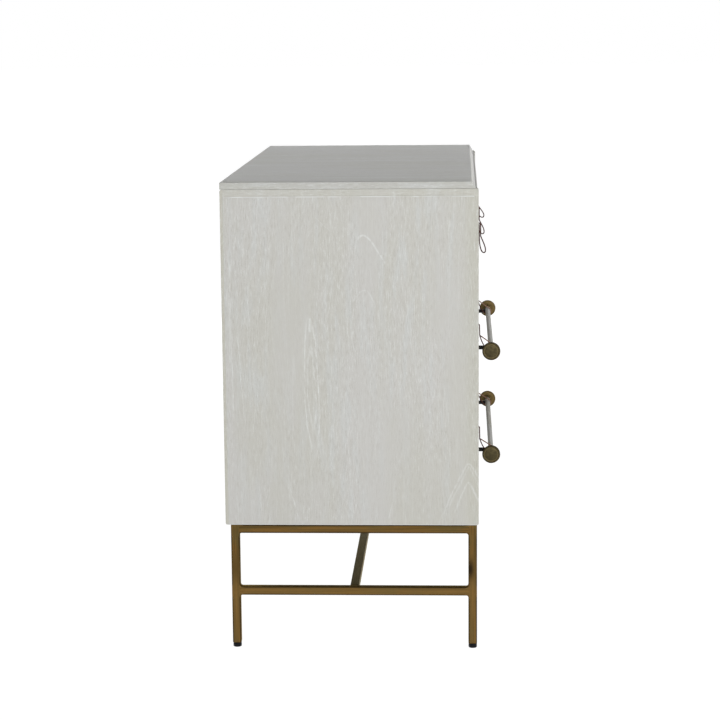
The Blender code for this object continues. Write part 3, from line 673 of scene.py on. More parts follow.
@dataclass(frozen=True)
class CerusedWood(Finish):
    """Open-grained wood, limed so that white wax lies in its pores.

    Each pair of numbers is a noise's scale across the grain and along it.
    """

    axis: GrainAxis
    tone: Triple = srgb(198, 197, 193)
    warm: Triple = srgb(195, 194, 187)
    milky: Triple = srgb(200, 202, 200)
    lipping: Triple = srgb(190, 189, 177)
    # Dark pores, and the painted shade in a side's line.
    shade: Triple = srgb(168, 164, 155)
    wax: Triple = srgb(222, 224, 222)
    clouds: Numbers = (9.0, 2.2)
    zone_clouds: Numbers = (14.0, 2.0)
    ring_clouds: Numbers = (52.0, 1.6)
    patches: Numbers = (70.0, 9.0)
    streaks: Numbers = (360.0, 20.0)
    pores: Numbers = (520.0, 74.0)
    fine_pores: Numbers = (1150.0, 330.0)
    waves: tuple = (((4.0, 1.2), 0.045), ((26.0, 5.0), 0.005))
    figures: tuple[GrainFigure, ...] = ()
    zones: tuple[GrainZone, ...] = ()
    trim: PanelTrim | None = None

    def along(self, pair: Numbers, axis: GrainAxis | None = None) -> Triple:
        """Give the stretch of a pair: its first number across the grain, its second along it.

        Args:
            pair: The number across the grain and the one along it.
            axis: The grain's way, if not the wood's own.

        Returns:
            The number for each axis.
        """
        values = [pair[0]] * 3
        values[(axis or self.axis).value] = pair[1]
        return tuple(values)

    def wander(self, place: Signal) -> Signal:
        """Let the grain wander: move the place across the grain by broad and by fine waves.

        Args:
            place: The place on the piece.

        Returns:
            The moved place.
        """
        for scales, amount in self.waves:
            wave = place.noise(self.along(scales), 1.0)
            place = place.shift(wave - 0.5, self.along((amount, 0.0)))
        return place

    def ticks(self, place: Signal, axis: GrainAxis) -> Signal:
        """Give the short marks of the pores, along one way of the grain."""
        long = place.noise(self.along(self.pores, axis), 1.5, 0.5, 0.15)
        return place.noise(self.along(self.fine_pores, axis), 1.0) * 0.35 + long * 0.65

    def figure_wax(self, place: Signal, bent: Signal, ticks: Signal) -> Signal:
        """Give the wax of the broad rings and of the side's figures, broken by the pores.

        Args:
            place: The place on the piece.
            bent: The place, moved as the grain wanders.
            ticks: The pores' short marks.

        Returns:
            The wax, from 0 to 1.
        """
        rings = bent.noise(self.along(self.ring_clouds), 1.0, 0.4)
        wax = (rings * 6.0).fold(0.5).band(0.36, 0.5) * 0.22
        wave = place.noise(self.along((40.0, 22.0)))
        wavy = place.shift(wave - 0.5, (0.0, 0.007, 0.0))
        for shape in self.figures:
            wax = wax | shape.draw(wavy)
        return wax * ticks.band(0.36, 0.56, 0.3, 1.0)

    def paint(self, sheet: NodeSheet) -> None:
        """Make the wood: a toned ground, then dark and waxed pores, then the figures' wax.

        Args:
            sheet: The material's node sheet.
        """
        place = sheet.place()
        bent = self.wander(place)
        zones = bent.noise(self.along(self.zone_clouds), 2.0, 0.55)
        for zone in self.zones:
            zones = zones + zone.share(bent)
        dense = zones.band(0.38, 0.64, 0.30, 1.0)
        ticks = self.ticks(bent, self.axis)
        if self.trim:
            ticks = self.trim.level_above(place, ticks, self.ticks(place, GrainAxis.ALONG_Y))
        streaks = bent.noise(self.along(self.streaks), 2.0, 0.6).band(0.62, 0.80, 0.0, 0.5)
        streaks = streaks * ticks.band(0.40, 0.55, 0.2, 1.0)
        waxed = ticks.band(0.52, 0.68) * dense | streaks * dense
        waxed = self.figure_wax(place, bent, ticks) * 0.60 + waxed * 0.47 & 1.0
        ground = place.noise(self.along(self.clouds), 3.0, 0.55).band(0.38, 0.62).mix(self.tone, self.warm)
        patches = bent.noise(self.along(self.patches)).band(0.46, 0.70, 0.0, 0.6)
        ground = (patches * dense).mix(ground, self.milky)
        if self.trim:
            # Paint shade into the side's line, and highlight on its lower flank and along the foot.
            groove_shade, light = self.trim.marks(place)
            ground = groove_shade.mix(self.trim.warmth(place).mix(ground, self.lipping), self.shade)
            waxed = waxed | light
        dark = ticks.band(0.47, 0.34) * zones.band(0.36, 0.6, 0.14, 0.36)
        sheet.bump(waxed * -0.5 + ticks * 0.8, 0.00012, 0.5)
        color = waxed.mix(dark.mix(ground, self.shade), self.wax)
        sheet.finish(base_color=color, roughness=waxed.band(0, 1, 0.56, 0.66), specular_ior_level=0.25)


@dataclass(frozen=True)
class BoxWood(Finish):
    """Plain pale hardwood, oiled, for what is inside."""

    axis: GrainAxis
    light: Triple = srgb(212, 190, 152)
    dark: Triple = srgb(184, 153, 112)

    def paint(self, sheet: NodeSheet) -> None:
        """Make the wood from rings stretched along the grain and fine dark pores.

        Args:
            sheet: The material's node sheet.
        """
        place, broad, fine = sheet.place(), [12.0] * 3, [900.0] * 3
        broad[self.axis.value], fine[self.axis.value] = 1.1, 30.0
        rings = place.noise(tuple(broad), 2.0, 0.5, 1.0)
        pores = place.noise(tuple(fine), 2.0, 0.6).band(0.5, 0.7)
        share = (rings * 9.0).fold(0.5).band(0.1, 0.5) * 0.5 + pores * 0.35
        sheet.bump(pores, -0.0001, 0.4)
        sheet.finish(base_color=share.mix(self.light, self.dark), roughness=0.52, specular_ior_level=0.3)


@dataclass(frozen=True)
class BronzeTube(Finish):
    """Brushed bronze on steel tube, browned, with painted shade towards its corners."""

    light: Triple = srgb(109, 82, 42)
    middle: Triple = srgb(82, 64, 34)
    green: Triple = srgb(82, 74, 44)
    pale: Triple = srgb(125, 100, 58)
    dark: Triple = srgb(38, 29, 18)
    spot_shade: Triple = srgb(24, 19, 14)
    edge: Triple = (0.70, 0.60, 0.38)
    # Where a painted shade spot lies, if one is given.
    shade_spot: Triple | None = None

    def paint(self, sheet: NodeSheet) -> None:
        """Make the metal from the tube's own lengthwise streaks and clouds, paler towards the floor, with
        painted shade at its corners, on level tubes' upper faces and just under the case.

        Args:
            sheet: The material's node sheet.
        """
        place, own = sheet.place(), sheet.attribute("tube", "Vector")
        height = place.split()[2]
        brushed, specks = own.noise((2200.0, 2200.0, 60.0), 2.0, 0.6), place.noise(520.0, 3.0, 0.6)
        color = own.noise((230.0, 230.0, 5.0), 2.0, 0.55).band(0.36, 0.64).mix(self.middle, self.light)
        color = own.noise((60.0, 60.0, 16.0), 3.0, 0.6, 0.4).band(0.45, 0.7, 0.0, 0.55).mix(color, self.green)
        color = height.band(0.20, 0.12, 0.0, 0.28).mix(color, self.pale)
        # Painted shade towards the corners, where the rounded edges turn from the light.
        corners = sheet.attribute("corner").band(0.15, 0.95, 0.0, 0.85)
        # Painted shade on the legs' tops, just under the case.
        above = height.band(0.212, 0.224, 0.0, 0.08)
        # Darken with the painted shade under the case, dark specks, and the painted shade at the corners and
        # on level tubes' upper faces.
        for share in (above, specks.band(0.52, 0.72) * 0.3, corners, sheet.attribute("upper") * 0.5):
            color = share.mix(color, self.dark)
        # Painted shade: a dark spot on the left frame's front leg, inside, with the middle tone round it.
        if self.shade_spot:
            _, y, z = sheet.place(self.shade_spot).split()
            color = z.within(-0.020, 0.020, 0.030).mix(color, self.middle)
            spot = z.within(-0.014, 0.014, 0.014) * y.within(-0.0085, 0.004, 0.0045)
            color = (spot * 0.85).mix(color, self.spot_shade)
        sheet.bump(brushed * 0.6 + specks, 0.00006, 0.5)
        sheet.finish(base_color=color, metallic=0.95, specular_ior_level=0.3, specular_tint=self.edge)
        sheet.finish(roughness=brushed.band(0.3, 0.7, 0.40, 0.54))


@dataclass(frozen=True)
class TurnedBrass(Finish):
    """Dark aged brass, faced on a lathe, with light rubbed through on its ring."""

    center: Triple
    radius: float
    inward: float
    dark: Triple = srgb(63, 57, 40)
    middle: Triple = srgb(73, 66, 46)
    rubbed: Triple = srgb(116, 103, 72)
    gold_highlight: Triple = srgb(98, 81, 48)
    # The darker groove, and the painted shade on the rounded rim.
    rim: Triple = srgb(40, 34, 22)
    edge: Triple = (0.35, 0.28, 0.16)
    turning: float = 0.00045

    def paint(self, sheet: NodeSheet) -> None:
        """Make the metal from its distance r to the axis: a light ring, a darker groove, a rim darkened as
        painted shade, painted gold highlights, fine turning.

        Args:
            sheet: The material's node sheet.
        """
        place = sheet.place(self.center)
        x, y, z = place.split()
        r = (y * y + z * z).root()
        share, clouds = r / self.radius, place.noise(110.0, 4.0, 0.6, 0.4)
        color = clouds.band(0.35, 0.65).mix(self.middle, self.dark)
        ring = share.within(0.715, 0.775, 0.02) * clouds.band(0.4, 0.6, 0.3, 1.0)
        color = (ring * 0.8).mix(color, self.rubbed)
        # The groove is darker, and the rounded rim is darkened as painted shade.
        groove = share.within(0.81, 0.86, 0.02) * 0.45
        color = (groove | share.band(0.87, 0.97, 0.0, 0.6)).mix(color, self.rim)
        # Painted gold highlights: on the rim's lower front, and on the disc's inner side.
        low = ((y + z) / self.radius).band(-0.8, -1.2) * share.band(0.88, 0.96, 0.0, 0.7)
        for gold_highlight in (low, (x * self.inward).band(-0.003, -0.001, 0.0, 0.6)):
            color = gold_highlight.mix(color, self.gold_highlight)
        sheet.bump((r * (CIRCLE / self.turning)).sine() * 0.5 + clouds * 1.5, 0.00003, 0.5)
        rough = clouds.band(0.3, 0.7, 0.40, 0.54)
        sheet.finish(base_color=color, metallic=0.95, roughness=rough, specular_tint=self.edge)


@dataclass(frozen=True)
class SatinNickel(Finish):
    """Satin nickel, polished round the bar, so that its fine marks run round it."""

    light: Triple = srgb(161, 161, 160)
    dark: Triple = srgb(141, 139, 130)
    edge: Triple = (0.84, 0.84, 0.82)

    def paint(self, sheet: NodeSheet) -> None:
        """Make the metal from clouds along the bar and fine marks round it.

        Args:
            sheet: The material's node sheet.
        """
        place = sheet.place()
        color = place.noise((9.0, 60.0, 60.0), 3.0, 0.6).band(0.35, 0.65).mix(self.light, self.dark)
        marks = place.noise((2600.0, 90.0, 90.0), 2.0, 0.6)
        sheet.bump(marks, 0.00003, 0.35)
        rough = marks.band(0.3, 0.7, 0.54, 0.64)
        sheet.finish(base_color=color, metallic=1.0, roughness=rough, specular_tint=self.edge)


@dataclass(frozen=True)
class BlackMetal(Finish):
    """Blackened steel, worn a little grey."""

    black: Triple = srgb(12, 12, 13)
    worn: Triple = srgb(36, 35, 34)

    def paint(self, sheet: NodeSheet) -> None:
        """Make the metal from fine clouds of wear.

        Args:
            sheet: The material's node sheet.
        """
        wear = sheet.place().noise(700.0, 4.0, 0.65)
        color = wear.band(0.55, 0.78).mix(self.black, self.worn)
        sheet.bump(wear, 0.00004, 0.5)
        rough = wear.band(0.3, 0.7, 0.34, 0.50)
        sheet.finish(base_color=color, metallic=0.5, roughness=rough, specular_ior_level=0.3)


@dataclass(frozen=True)
class BlackGlide(Finish):
    """Moulded black plastic with a fine spark texture."""

    black: Triple = srgb(9, 9, 13)
    scuffed: Triple = srgb(26, 26, 32)

    def paint(self, sheet: NodeSheet) -> None:
        """Make the plastic, scuffed where it rubs the floor.

        Args:
            sheet: The material's node sheet.
        """
        place = sheet.place()
        scuffs = place.noise(260.0, 4.0, 0.7).band(0.5, 0.7)
        share = scuffs * place.split()[2].band(0.0, 0.004, 1.0, 0.25)
        sheet.bump(place.noise(1500.0), 0.00006, 0.6)
        sheet.finish(base_color=share.mix(self.black, self.scuffed), roughness=0.45, specular_ior_level=0.15)


@dataclass(frozen=True)
class LaceLeather(Finish):
    """Round red-brown leather lace, creased across and rubbed lighter on its ridges."""

    brown: Triple = srgb(68, 34, 25)
    red: Triple = srgb(60, 22, 15)
    crease: Triple = srgb(32, 15, 11)
    rubbed: Triple = srgb(112, 76, 60)
    # The colour of the painted highlight.
    highlight_tone: Triple = srgb(150, 116, 98)

    def paint(self, sheet: NodeSheet) -> None:
        """Make the leather from the lace's own length and turn, so that it follows the lace.

        Args:
            sheet: The material's node sheet.
        """
        own = sheet.attribute("lace", "Vector")
        creases = own.noise((500.0, 500.0, 1500.0), 3.0, 0.65, 0.4)
        color = own.noise((300.0, 300.0, 60.0), 3.0, 0.6).band(0.35, 0.65).mix(self.brown, self.red)
        color = creases.band(0.5, 0.35, 0.0, 0.6).mix(color, self.crease)
        worn = sheet.attribute("ridge").band(0.45, 1.0) * creases.band(0.42, 0.6)
        # Painted highlight on the upper stretch, where light falls from above.
        painted_highlight = sheet.attribute("painted_highlight") * creases.band(0.34, 0.56, 0.35, 0.9)
        color = painted_highlight.mix((worn * 0.30).mix(color, self.rubbed), self.highlight_tone)
        sheet.bump(creases, 0.00012, 0.7)
        rough = creases.band(0.3, 0.7, 0.78, 0.64)
        sheet.finish(base_color=color, roughness=rough, specular_ior_level=0.15)


@dataclass(frozen=True)
class StudioFloor(Finish):
    """A pale floor that the lens sees as white, and that keeps a soft shadow."""

    light: float = 0.80
    shown: float = 0.955
    shadow: float = 0.16

    def paint(self, sheet: NodeSheet) -> None:
        """Mix plain pale paint with, for the lens and for mirrors alone, white of its own.

        Args:
            sheet: The material's node sheet.
        """
        sheet.finish(base_color=(self.light,) * 3, roughness=0.9, specular_ior_level=0.1)
        white = sheet.node("Emission", (1.0, 1.0, 1.0), self.shown)
        seen = sheet.node("AddShader", white, sheet.node("BsdfDiffuse", (self.shadow,) * 3))
        sheet.show(sheet.nodes["Principled BSDF"], seen.socket.node, "Material Output")


# ---------------------------------------------------------------- studio


@dataclass(frozen=True)
class Studio:
    """The lens at the photograph's place, soft lamps, a pale floor and a white surround."""

    lens_place: Triple = (-4.4233, -0.18209, 1.18233)
    lens_turn: Triple = (0.1619, -0.0471, 0.0013)
    lens_length: float = 107.86
    film_width: float = 36.0
    floor_half: float = 40.0
    horizon: float = 0.85
    zenith: float = 0.10
    ceiling_starts: float = 0.42
    lamp_size: tuple[float, float] = (3.2, 1.8)
    lamp_aim: Triple = (0.0, 0.0, 0.45)
    lamps: tuple[tuple[str, Triple, float], ...] = (
        ("near_side", (-3.7, -1.2, 0.95), 62.0),
        ("front", (0.6, -3.8, 0.95), 50.0),
        ("far_side", (3.8, 0.6, 0.95), 32.0),
        ("back", (-0.6, 3.9, 0.95), 40.0),
    )

    def add_lens(self) -> None:
        """Add the camera, turned from looking along +X by three small angles."""
        lens = bpy.data.cameras.new("studio_lens")
        lens.lens, lens.sensor_width, lens.sensor_fit = self.lens_length, self.film_width, "HORIZONTAL"
        lens.clip_start, lens.clip_end = 0.05, 400.0
        axes = Euler(self.lens_turn).to_matrix() @ Matrix(((0, -1, 0), (0, 0, 1), (-1, 0, 0)))
        matrix = axes.transposed().to_4x4()
        matrix.translation = self.lens_place
        camera = put("studio_lens", lens)
        camera.matrix_world = matrix
        bpy.context.scene.camera = camera

    def add_lamp(self, name: str, place: Triple, power: float) -> None:
        """Add a wide soft lamp that looks at the dresser's middle and that the lens can't see.

        Args:
            name: What side it stands on.
            place: Where it stands.
            power: Its power in watts.
        """
        light = bpy.data.lights.new("lamp_" + name, "AREA")
        light.shape, light.energy = "RECTANGLE", power
        light.size, light.size_y = self.lamp_size
        lamp = put("lamp_" + name, light)
        lamp.location = place
        lamp.rotation_euler = (Vector(self.lamp_aim) - Vector(place)).to_track_quat("-Z", "Y").to_euler()
        lamp.visible_camera = False

    def add_surround(self) -> None:
        """Give white to the lens and to mirrors, a dimmer sky to the rest, and a grey ceiling over both."""
        world = bpy.data.worlds.new("studio_surround")
        bpy.context.scene.world = world
        sheet = NodeSheet(world)
        height = sheet.node("TexCoord", output="Generated").split()[2]
        sky, white = sheet.nodes["Background"], sheet.nodes.new("ShaderNodeBackground")
        for shader, start, bright in ((sky, 0.0, self.horizon), (white, self.ceiling_starts, 1.0)):
            shader.inputs["Color"].default_value = (1, 1, 1, 1)
            sheet.lead(height.band(start, 1.0, bright, self.zenith, "LINEAR"), shader.inputs["Strength"])
        sheet.show(sky, white, "World Output")

    def add_floor(self) -> None:
        """Lay the floor under the feet."""
        half = self.floor_half
        corners = [(-half, -half, 0), (half, -half, 0), (half, half, 0), (-half, half, 0)]
        mesh = bpy.data.meshes.new("studio_floor")
        mesh.from_pydata(corners, [], [(0, 1, 2, 3)])
        mesh.materials.append(StudioFloor().material("studio_floor_paint"))
        put("studio_floor", mesh)

    def build(self) -> None:
        """Set the studio up."""
        bpy.context.scene.view_settings.view_transform = "Standard"
        self.add_lens()
        self.add_surround()
        self.add_floor()
        for lamp in self.lamps:
            self.add_lamp(*lamp)
        LOG.info("studio is set")


# ---------------------------------------------------------------- case


@dataclass(frozen=True)
class SidePanel:
    """A full-depth side of the case, framed by a fine line along its top and its edges."""

    word: str
    sign: int
    figures: tuple[GrainFigure, ...]
    zones: tuple[GrainZone, ...]
    edge_round: float = 0.0004
    corner_round: float = 0.0036
    line_depth: float = 0.0004
    line_half: float = 0.0012
    line_inset: float = 0.0080
    line_drop: float = 0.0127
    line_fade: float = 0.001
    upright_share: float = 0.2
    clear: float = 0.006

    def stations(self, low: float, high: float, lines: Numbers) -> Array:
        """Place stations from low to high, close together at the rounded edges and the lines.

        Args:
            low: The lower end.
            high: The upper end.
            lines: Where the lines run.

        Returns:
            The stations, in order.
        """
        first, last = rounded_ends(low, high, self.edge_round)
        corner = np.linspace(self.edge_round, self.corner_round, 4)[1:]
        cuts = (np.array(lines)[:, None] + self.line_half * np.linspace(-1, 1, 7)).ravel()
        even = np.linspace(low, high, 26)[1:-1]
        far = np.abs(even[:, None] - np.array((*lines, low, high))).min(1) > self.clear
        return np.sort(np.concatenate((first, low + corner, cuts, even[far], high - corner, last)))

    def rounded(self, flat: Array, low: Array, high: Array) -> Array:
        """Pull the square corners of a grid of points (y, z) round.

        Within a corner's square (a, b) becomes (a sqrt(1 - b^2 / 2), b sqrt(1 - a^2 / 2)).

        Args:
            flat: The points.
            low: The panel's least y and z.
            high: Its greatest y and z.

        Returns:
            The moved points.
        """
        radius, apart = self.corner_round, flat - (low + high) / 2
        into = np.clip((np.abs(apart) - (high - low) / 2 + radius) / radius, 0, 1)
        return flat - radius * into * (1 - np.sqrt(1 - into[..., ::-1] ** 2 / 2)) * np.sign(apart)

    def build(self) -> Piece:
        """Build the panel: its face sinks into V lines and falls away at its rounded edges.

        Returns:
            The finished piece.
        """
        node = "side_panel_" + self.word
        low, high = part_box(node)
        line_z = high.z - self.line_drop
        rows = self.stations(low.y, high.y, (low.y + self.line_inset, high.y - self.line_inset))
        y, z = np.meshgrid(rows, self.stations(low.z, high.z, (line_z,)), indexing="ij")
        inset = np.minimum(y - low.y, high.y - y) - self.line_inset
        level = np.clip(1 - np.abs(z - line_z) / self.line_half, 0, 1)
        level = level * smooth_share(inset, -self.line_fade, 0)
        upright = np.clip(1 - np.abs(inset) / self.line_half, 0, 1)
        upright = upright * smooth_share(line_z - z, -self.line_fade, self.line_fade)
        sunk = self.line_depth * np.maximum(level, self.upright_share * upright)
        fall = edge_fall((y, z), (low.y, low.z), (high.y, high.z), self.edge_round)
        flat = self.rounded(np.stack((y, z), -1), np.array(low)[1:], np.array(high)[1:])
        outer, inner = (low.x, high.x) if self.sign < 0 else (high.x, low.x)
        depths = (outer - self.sign * (fall + sunk), inner + self.sign * fall)
        sides = [np.concatenate((x[..., None], flat), -1) for x in depths]
        trim = PanelTrim(low.y, high.y, line_z, self.line_inset, low.z)
        finish = CerusedWood(GrainAxis.ALONG_Z, figures=self.figures, zones=self.zones, trim=trim)
        return Place(CASE, node, "cerused_wood").make("panel_" + self.word, plate(*sides), finish, 30)


@dataclass(frozen=True)
class TopSlab:
    """The top, with its front sloped from its foot to its face."""

    slope: float = 0.0065
    edge_round: float = 0.0004
    columns: int = 21
    finish: CerusedWood = CerusedWood(GrainAxis.ALONG_Y, tone=srgb(191, 191, 188), warm=srgb(188, 188, 182))

    def stations(self, low: float, high: float) -> Array:
        """Place even stations from low to high, and close ones on the rounded edges."""
        first, last = rounded_ends(low, high, self.edge_round)
        return np.concatenate((first, np.linspace(low, high, self.columns)[1:-1], last))

    def build(self) -> Piece:
        """Build the slab from its face and its underside, each rounded off round its edge.

        Returns:
            The finished piece.
        """
        low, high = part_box("top_slab")
        grids = []
        for front, outer, sign in ((low.y + self.slope, high.z, -1), (low.y, low.z, 1)):
            x, y = np.meshgrid(self.stations(low.x, high.x), self.stations(front, high.y), indexing="ij")
            fall = edge_fall((x, y), (low.x, front), (high.x, high.y), self.edge_round)
            grids.append(np.stack((x, y, outer + sign * fall), -1))
        return Place(CASE, "top_slab", "cerused_wood").make("slab", plate(*grids), self.finish, 30)


@dataclass(frozen=True)
class BackScrews:
    """The flat screws that hold the back panel, sunk flush, each head with a round socket."""

    head_radius: float = 0.0036
    cup: float = 0.0007
    columns: int = 5
    rows: int = 3
    inset: float = 0.012

    def build(self) -> Piece:
        """Build the heads as shallow turned cups in a row along each edge of the back.

        Returns:
            The finished piece.
        """
        low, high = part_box("back_panel")
        xs = np.linspace(low.x + self.inset, high.x - self.inset, self.columns)
        zs = np.linspace(low.z + self.inset, high.z - self.inset, self.rows)
        places = [(x, z) for x in xs for z in zs if x in (xs[0], xs[-1]) or z in (zs[0], zs[-1])]
        r, c = self.head_radius, self.cup
        profile = [(0, -c), (r, -c), (r, 0), (r - 0.0005, 0.0003), (0.0016, 0.0003)]
        profile += [(0.0011, -0.0003), (0, -0.0005)]
        shells = [turned(profile, (x, high.y, z), Turn.TO_BACK, 14) for x, z in places]
        return Place(CASE, "", "black_post").make("back_screws", joined(shells), BlackMetal(), 50)


@dataclass(frozen=True)
class Case:
    """The wooden case: its sides and top, made anew, and the boards within."""

    figures: tuple[GrainFigure, ...] = (
        GrainFigure(ARCH, -0.0030, 0.7752, 0.30, 0.052, lean=0.15, crown=0.085, limb=0.012, line=0.0019),
        GrainFigure(STROKE, 0.0690, 0.7950, 0.0, 0.030, lean=1.0, strength=0.6),
        GrainFigure(ARCH, -0.0040, 0.6745, 0.34, 0.024, strength=0.6, crown=0.060, line=0.0017),
        GrainFigure(EYE, 0.0930, 0.4940, 0.0128, 0.1270, lean=0.03, strength=0.9, rings=2),
        GrainFigure(STROKE, 0.0955, 0.6110, 0.0, 0.030, line=0.0020),
        GrainFigure(STROKE, 0.2390, 0.5050, 0.0, 0.160, lean=0.03, strength=0.8),
        GrainFigure(STROKE, 0.2230, 0.5100, 0.0, 0.180, lean=0.07, strength=0.8),
        GrainFigure(STROKE, 0.2420, 0.6300, 0.0, 0.230, strength=0.45, line=0.0030),
        GrainFigure(ARCH, -0.1949, 0.3519, 0.45, 0.100, strength=0.7, rings=2, line=0.0018),
        GrainFigure(ARCH, -0.1949, 0.3165, 0.40, 0.060, strength=0.7, crown=0.010, line=0.0020),
        GrainFigure(STROKE, 0.1285, 0.2800, 0.0, 0.060, lean=0.23, strength=0.8),
        GrainFigure(STROKE, 0.1024, 0.2560, 0.0, 0.028, lean=-0.2, strength=0.7),
        GrainFigure(STROKE, 0.0219, 0.2560, 0.0, 0.030, lean=0.2, strength=0.7),
        GrainFigure(STROKE, -0.0515, 0.2680, 0.0, 0.044, lean=-0.25, strength=0.8),
    )
    zones: tuple[GrainZone, ...] = (
        GrainZone(0.0443, 0.020, 0.555, 0.320, 0.16),
        GrainZone(-0.0740, 0.024, 0.649, 0.180, 0.15),
        GrainZone(0.2200, 0.028, 0.770, 0.060, 0.15),
        GrainZone(-0.1280, 0.030, 0.478, 0.120, 0.14),
        GrainZone(-0.0200, 0.030, 0.555, 0.320, -0.12),
    )
    level_boards: tuple[str, ...] = ("case_floor", "row_shelf", "row_rail")
    upright_boards: tuple[str, ...] = ("back_panel", "divider_left", "divider_right")

    def build(self) -> None:
        """Build and dress the case. The figures lie on the left side alone."""
        SidePanel("left", -1, self.figures, self.zones).build()
        SidePanel("right", 1, (), ()).build()
        TopSlab().build()
        BackScrews().build()
        for node in self.level_boards:
            dress_node(node, CerusedWood(GrainAxis.ALONG_X))
        for node in self.upright_boards:
            dress_node(node, CerusedWood(GrainAxis.ALONG_Z))


# ---------------------------------------------------------------- base


@dataclass(frozen=True)
class SquareTube:
    """A square tube with soft corners, along a straight line.

    Its section is the superellipse |a|^n + |b|^n = h^n, with h half the tube's side.
    """

    side: float = 0.016
    power: float = 11.0
    around: int = 64
    taper: float = 0.0016
    drawn_in: float = 0.08

    def section(self) -> Array:
        """Give the superellipse's points."""
        ring = ring_of((np.arange(self.around) + 0.5) * CIRCLE / self.around)
        return np.sign(ring) * np.abs(ring) ** (2 / self.power) * self.side / 2

    def corner_share(self) -> Array:
        """Mark how near each point of the section is to a corner: the smaller of |a| and |b|, over h."""
        return smooth_share(np.abs(self.section()).min(1) / (self.side / 2), 0.45, 0.98)

    def shell(self, start: Numbers, end: Numbers, up: Numbers, count: int) -> Shell:
        """Carry the section from start to end, drawn in a little at both ends.

        Args:
            start: The first end of the tube's axis.
            end: The other end.
            up: One of the section's axes.
            count: How many stations the length has.

        Returns:
            The shell, marked with the tube's own space, its corners and a level tube's upper face.
        """
        line = np.subtract(end, start)
        length = np.linalg.norm(line)
        drawn = self.taper * np.linspace(0, 1, 5) / length
        stations = np.unique(np.concatenate((np.linspace(drawn[-1], 1 - drawn[-1], count), drawn, 1 - drawn)))
        near = np.clip(np.minimum(stations, 1 - stations) / drawn[-1], 0, 1)
        section = self.section() * (1 - self.drawn_in * (1 - near) ** 2)[:, None, None]
        shell = carried(start + stations[:, None] * line, np.cross(unit(line), up), up, section)
        along = np.broadcast_to(stations[:, None] * length + np.abs(start).sum(), section.shape[:2])
        over = (shell.points[:, 2] - start[2]) * (line[2] == 0)
        shell.marks["tube"] = np.concatenate((section, along[..., None]), -1).reshape(-1, 3)
        shell.marks["corner"] = np.tile(self.corner_share(), len(stations))
        # A level tube's upper face, which the bronze darkens as painted shade.
        shell.marks["upper"] = smooth_share(over, 0.40 * self.side, 0.49 * self.side)
        return shell


@dataclass(frozen=True)
class EndFrame:
    """A welded end frame: two legs, a top rail, a low rail and the ground welds between them."""

    word: str
    low_rail: float = 0.101
    foot: float = 0.0088
    weld: float = 0.0048
    weld_root: float = -0.002
    joint: float = 0.0024
    shade_spot_z: float = 0.152
    tube: SquareTube = SquareTube()

    def weld_shell(self, x: float, corner: tuple[float, float], way: tuple[int, int]) -> Shell:
        """Fill an inside corner with a round weld.

        Its section is a quarter circle a(t) = corner + way (r - r cos t, r - r sin t), closed
        inside the tubes, and it is carried across the tube, drawn in near both faces.

        Args:
            x: The middle of the tubes.
            corner: The corner's y and z.
            way: The signs of y and z that lead out of the corner.

        Returns:
            The shell, marked as the tubes are.
        """
        arc = (1 - ring_of(np.linspace(0, QUARTER, 9))) * self.weld
        root = ((self.weld, self.weld_root), (self.weld_root,) * 2, (self.weld_root, self.weld))
        b = np.array((-1, -0.97, -0.9, -0.75, 0, 0.75, 0.9, 0.97, 1)) * 0.985
        drawn = np.abs(b) ** 8 * self.tube.taper
        on_arc = np.repeat((1.0, 0.0), (len(arc), len(root)))[:, None]
        section = (np.concatenate((arc, root)) - drawn[:, None, None] * on_arc) * way
        path = np.array((x, *corner)) + b[:, None] * (self.tube.side / 2, 0, 0)
        shell = carried(path, (0.0, 1.0, 0.0), (0.0, 0.0, 1.0), section)
        # The welds take part of the corners' painted shade, more towards both faces.
        corner_share = np.repeat(smooth_share(np.abs(b), 0.5, 1.0) * 0.5 + 0.35, section.shape[1])
        shell.marks = {"tube": shell.points, "corner": corner_share, "upper": np.zeros(len(shell.points))}
        return shell

    def build(self) -> Piece:
        """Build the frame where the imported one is.

        Returns:
            The finished piece.
        """
        node = "end_frame_" + self.word
        low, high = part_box(node)
        half = self.tube.side / 2
        x, front, back = (low.x + high.x) / 2, low.y + half, high.y - half
        top, rail, reach = high.z - half, self.low_rail + half, half - self.joint
        up = (1.0, 0.0, 0.0)
        shells = [self.tube.shell((x, y, self.foot), (x, y, high.z), up, 41) for y in (front, back)]
        shells += [self.tube.shell((x, front + reach, z), (x, back - reach, z), up, 49) for z in (top, rail)]
        inner = ((front + half, 1), (back - half, -1))
        for z, way in ((top - half, -1), (rail + half, 1), (rail - half, -1)):
            shells += [self.weld_shell(x, (y, z), (away, way)) for y, away in inner]
        whole = joined(shells)
        # Fade the corners' painted shade where the rails meet the legs.
        for y in (front, back):
            for z in (top, rail):
                far = np.hypot(whole.points[:, 1] - y, whole.points[:, 2] - z)
                whole.marks["corner"] *= smooth_share(far, 0.009, 0.016)
        finish = BronzeTube(shade_spot=(0.0, front + half, self.shade_spot_z) if self.word == "left" else None)
        return Place(CASE, node, "bronze_tube").make("frame_" + self.word, whole, finish, 40)


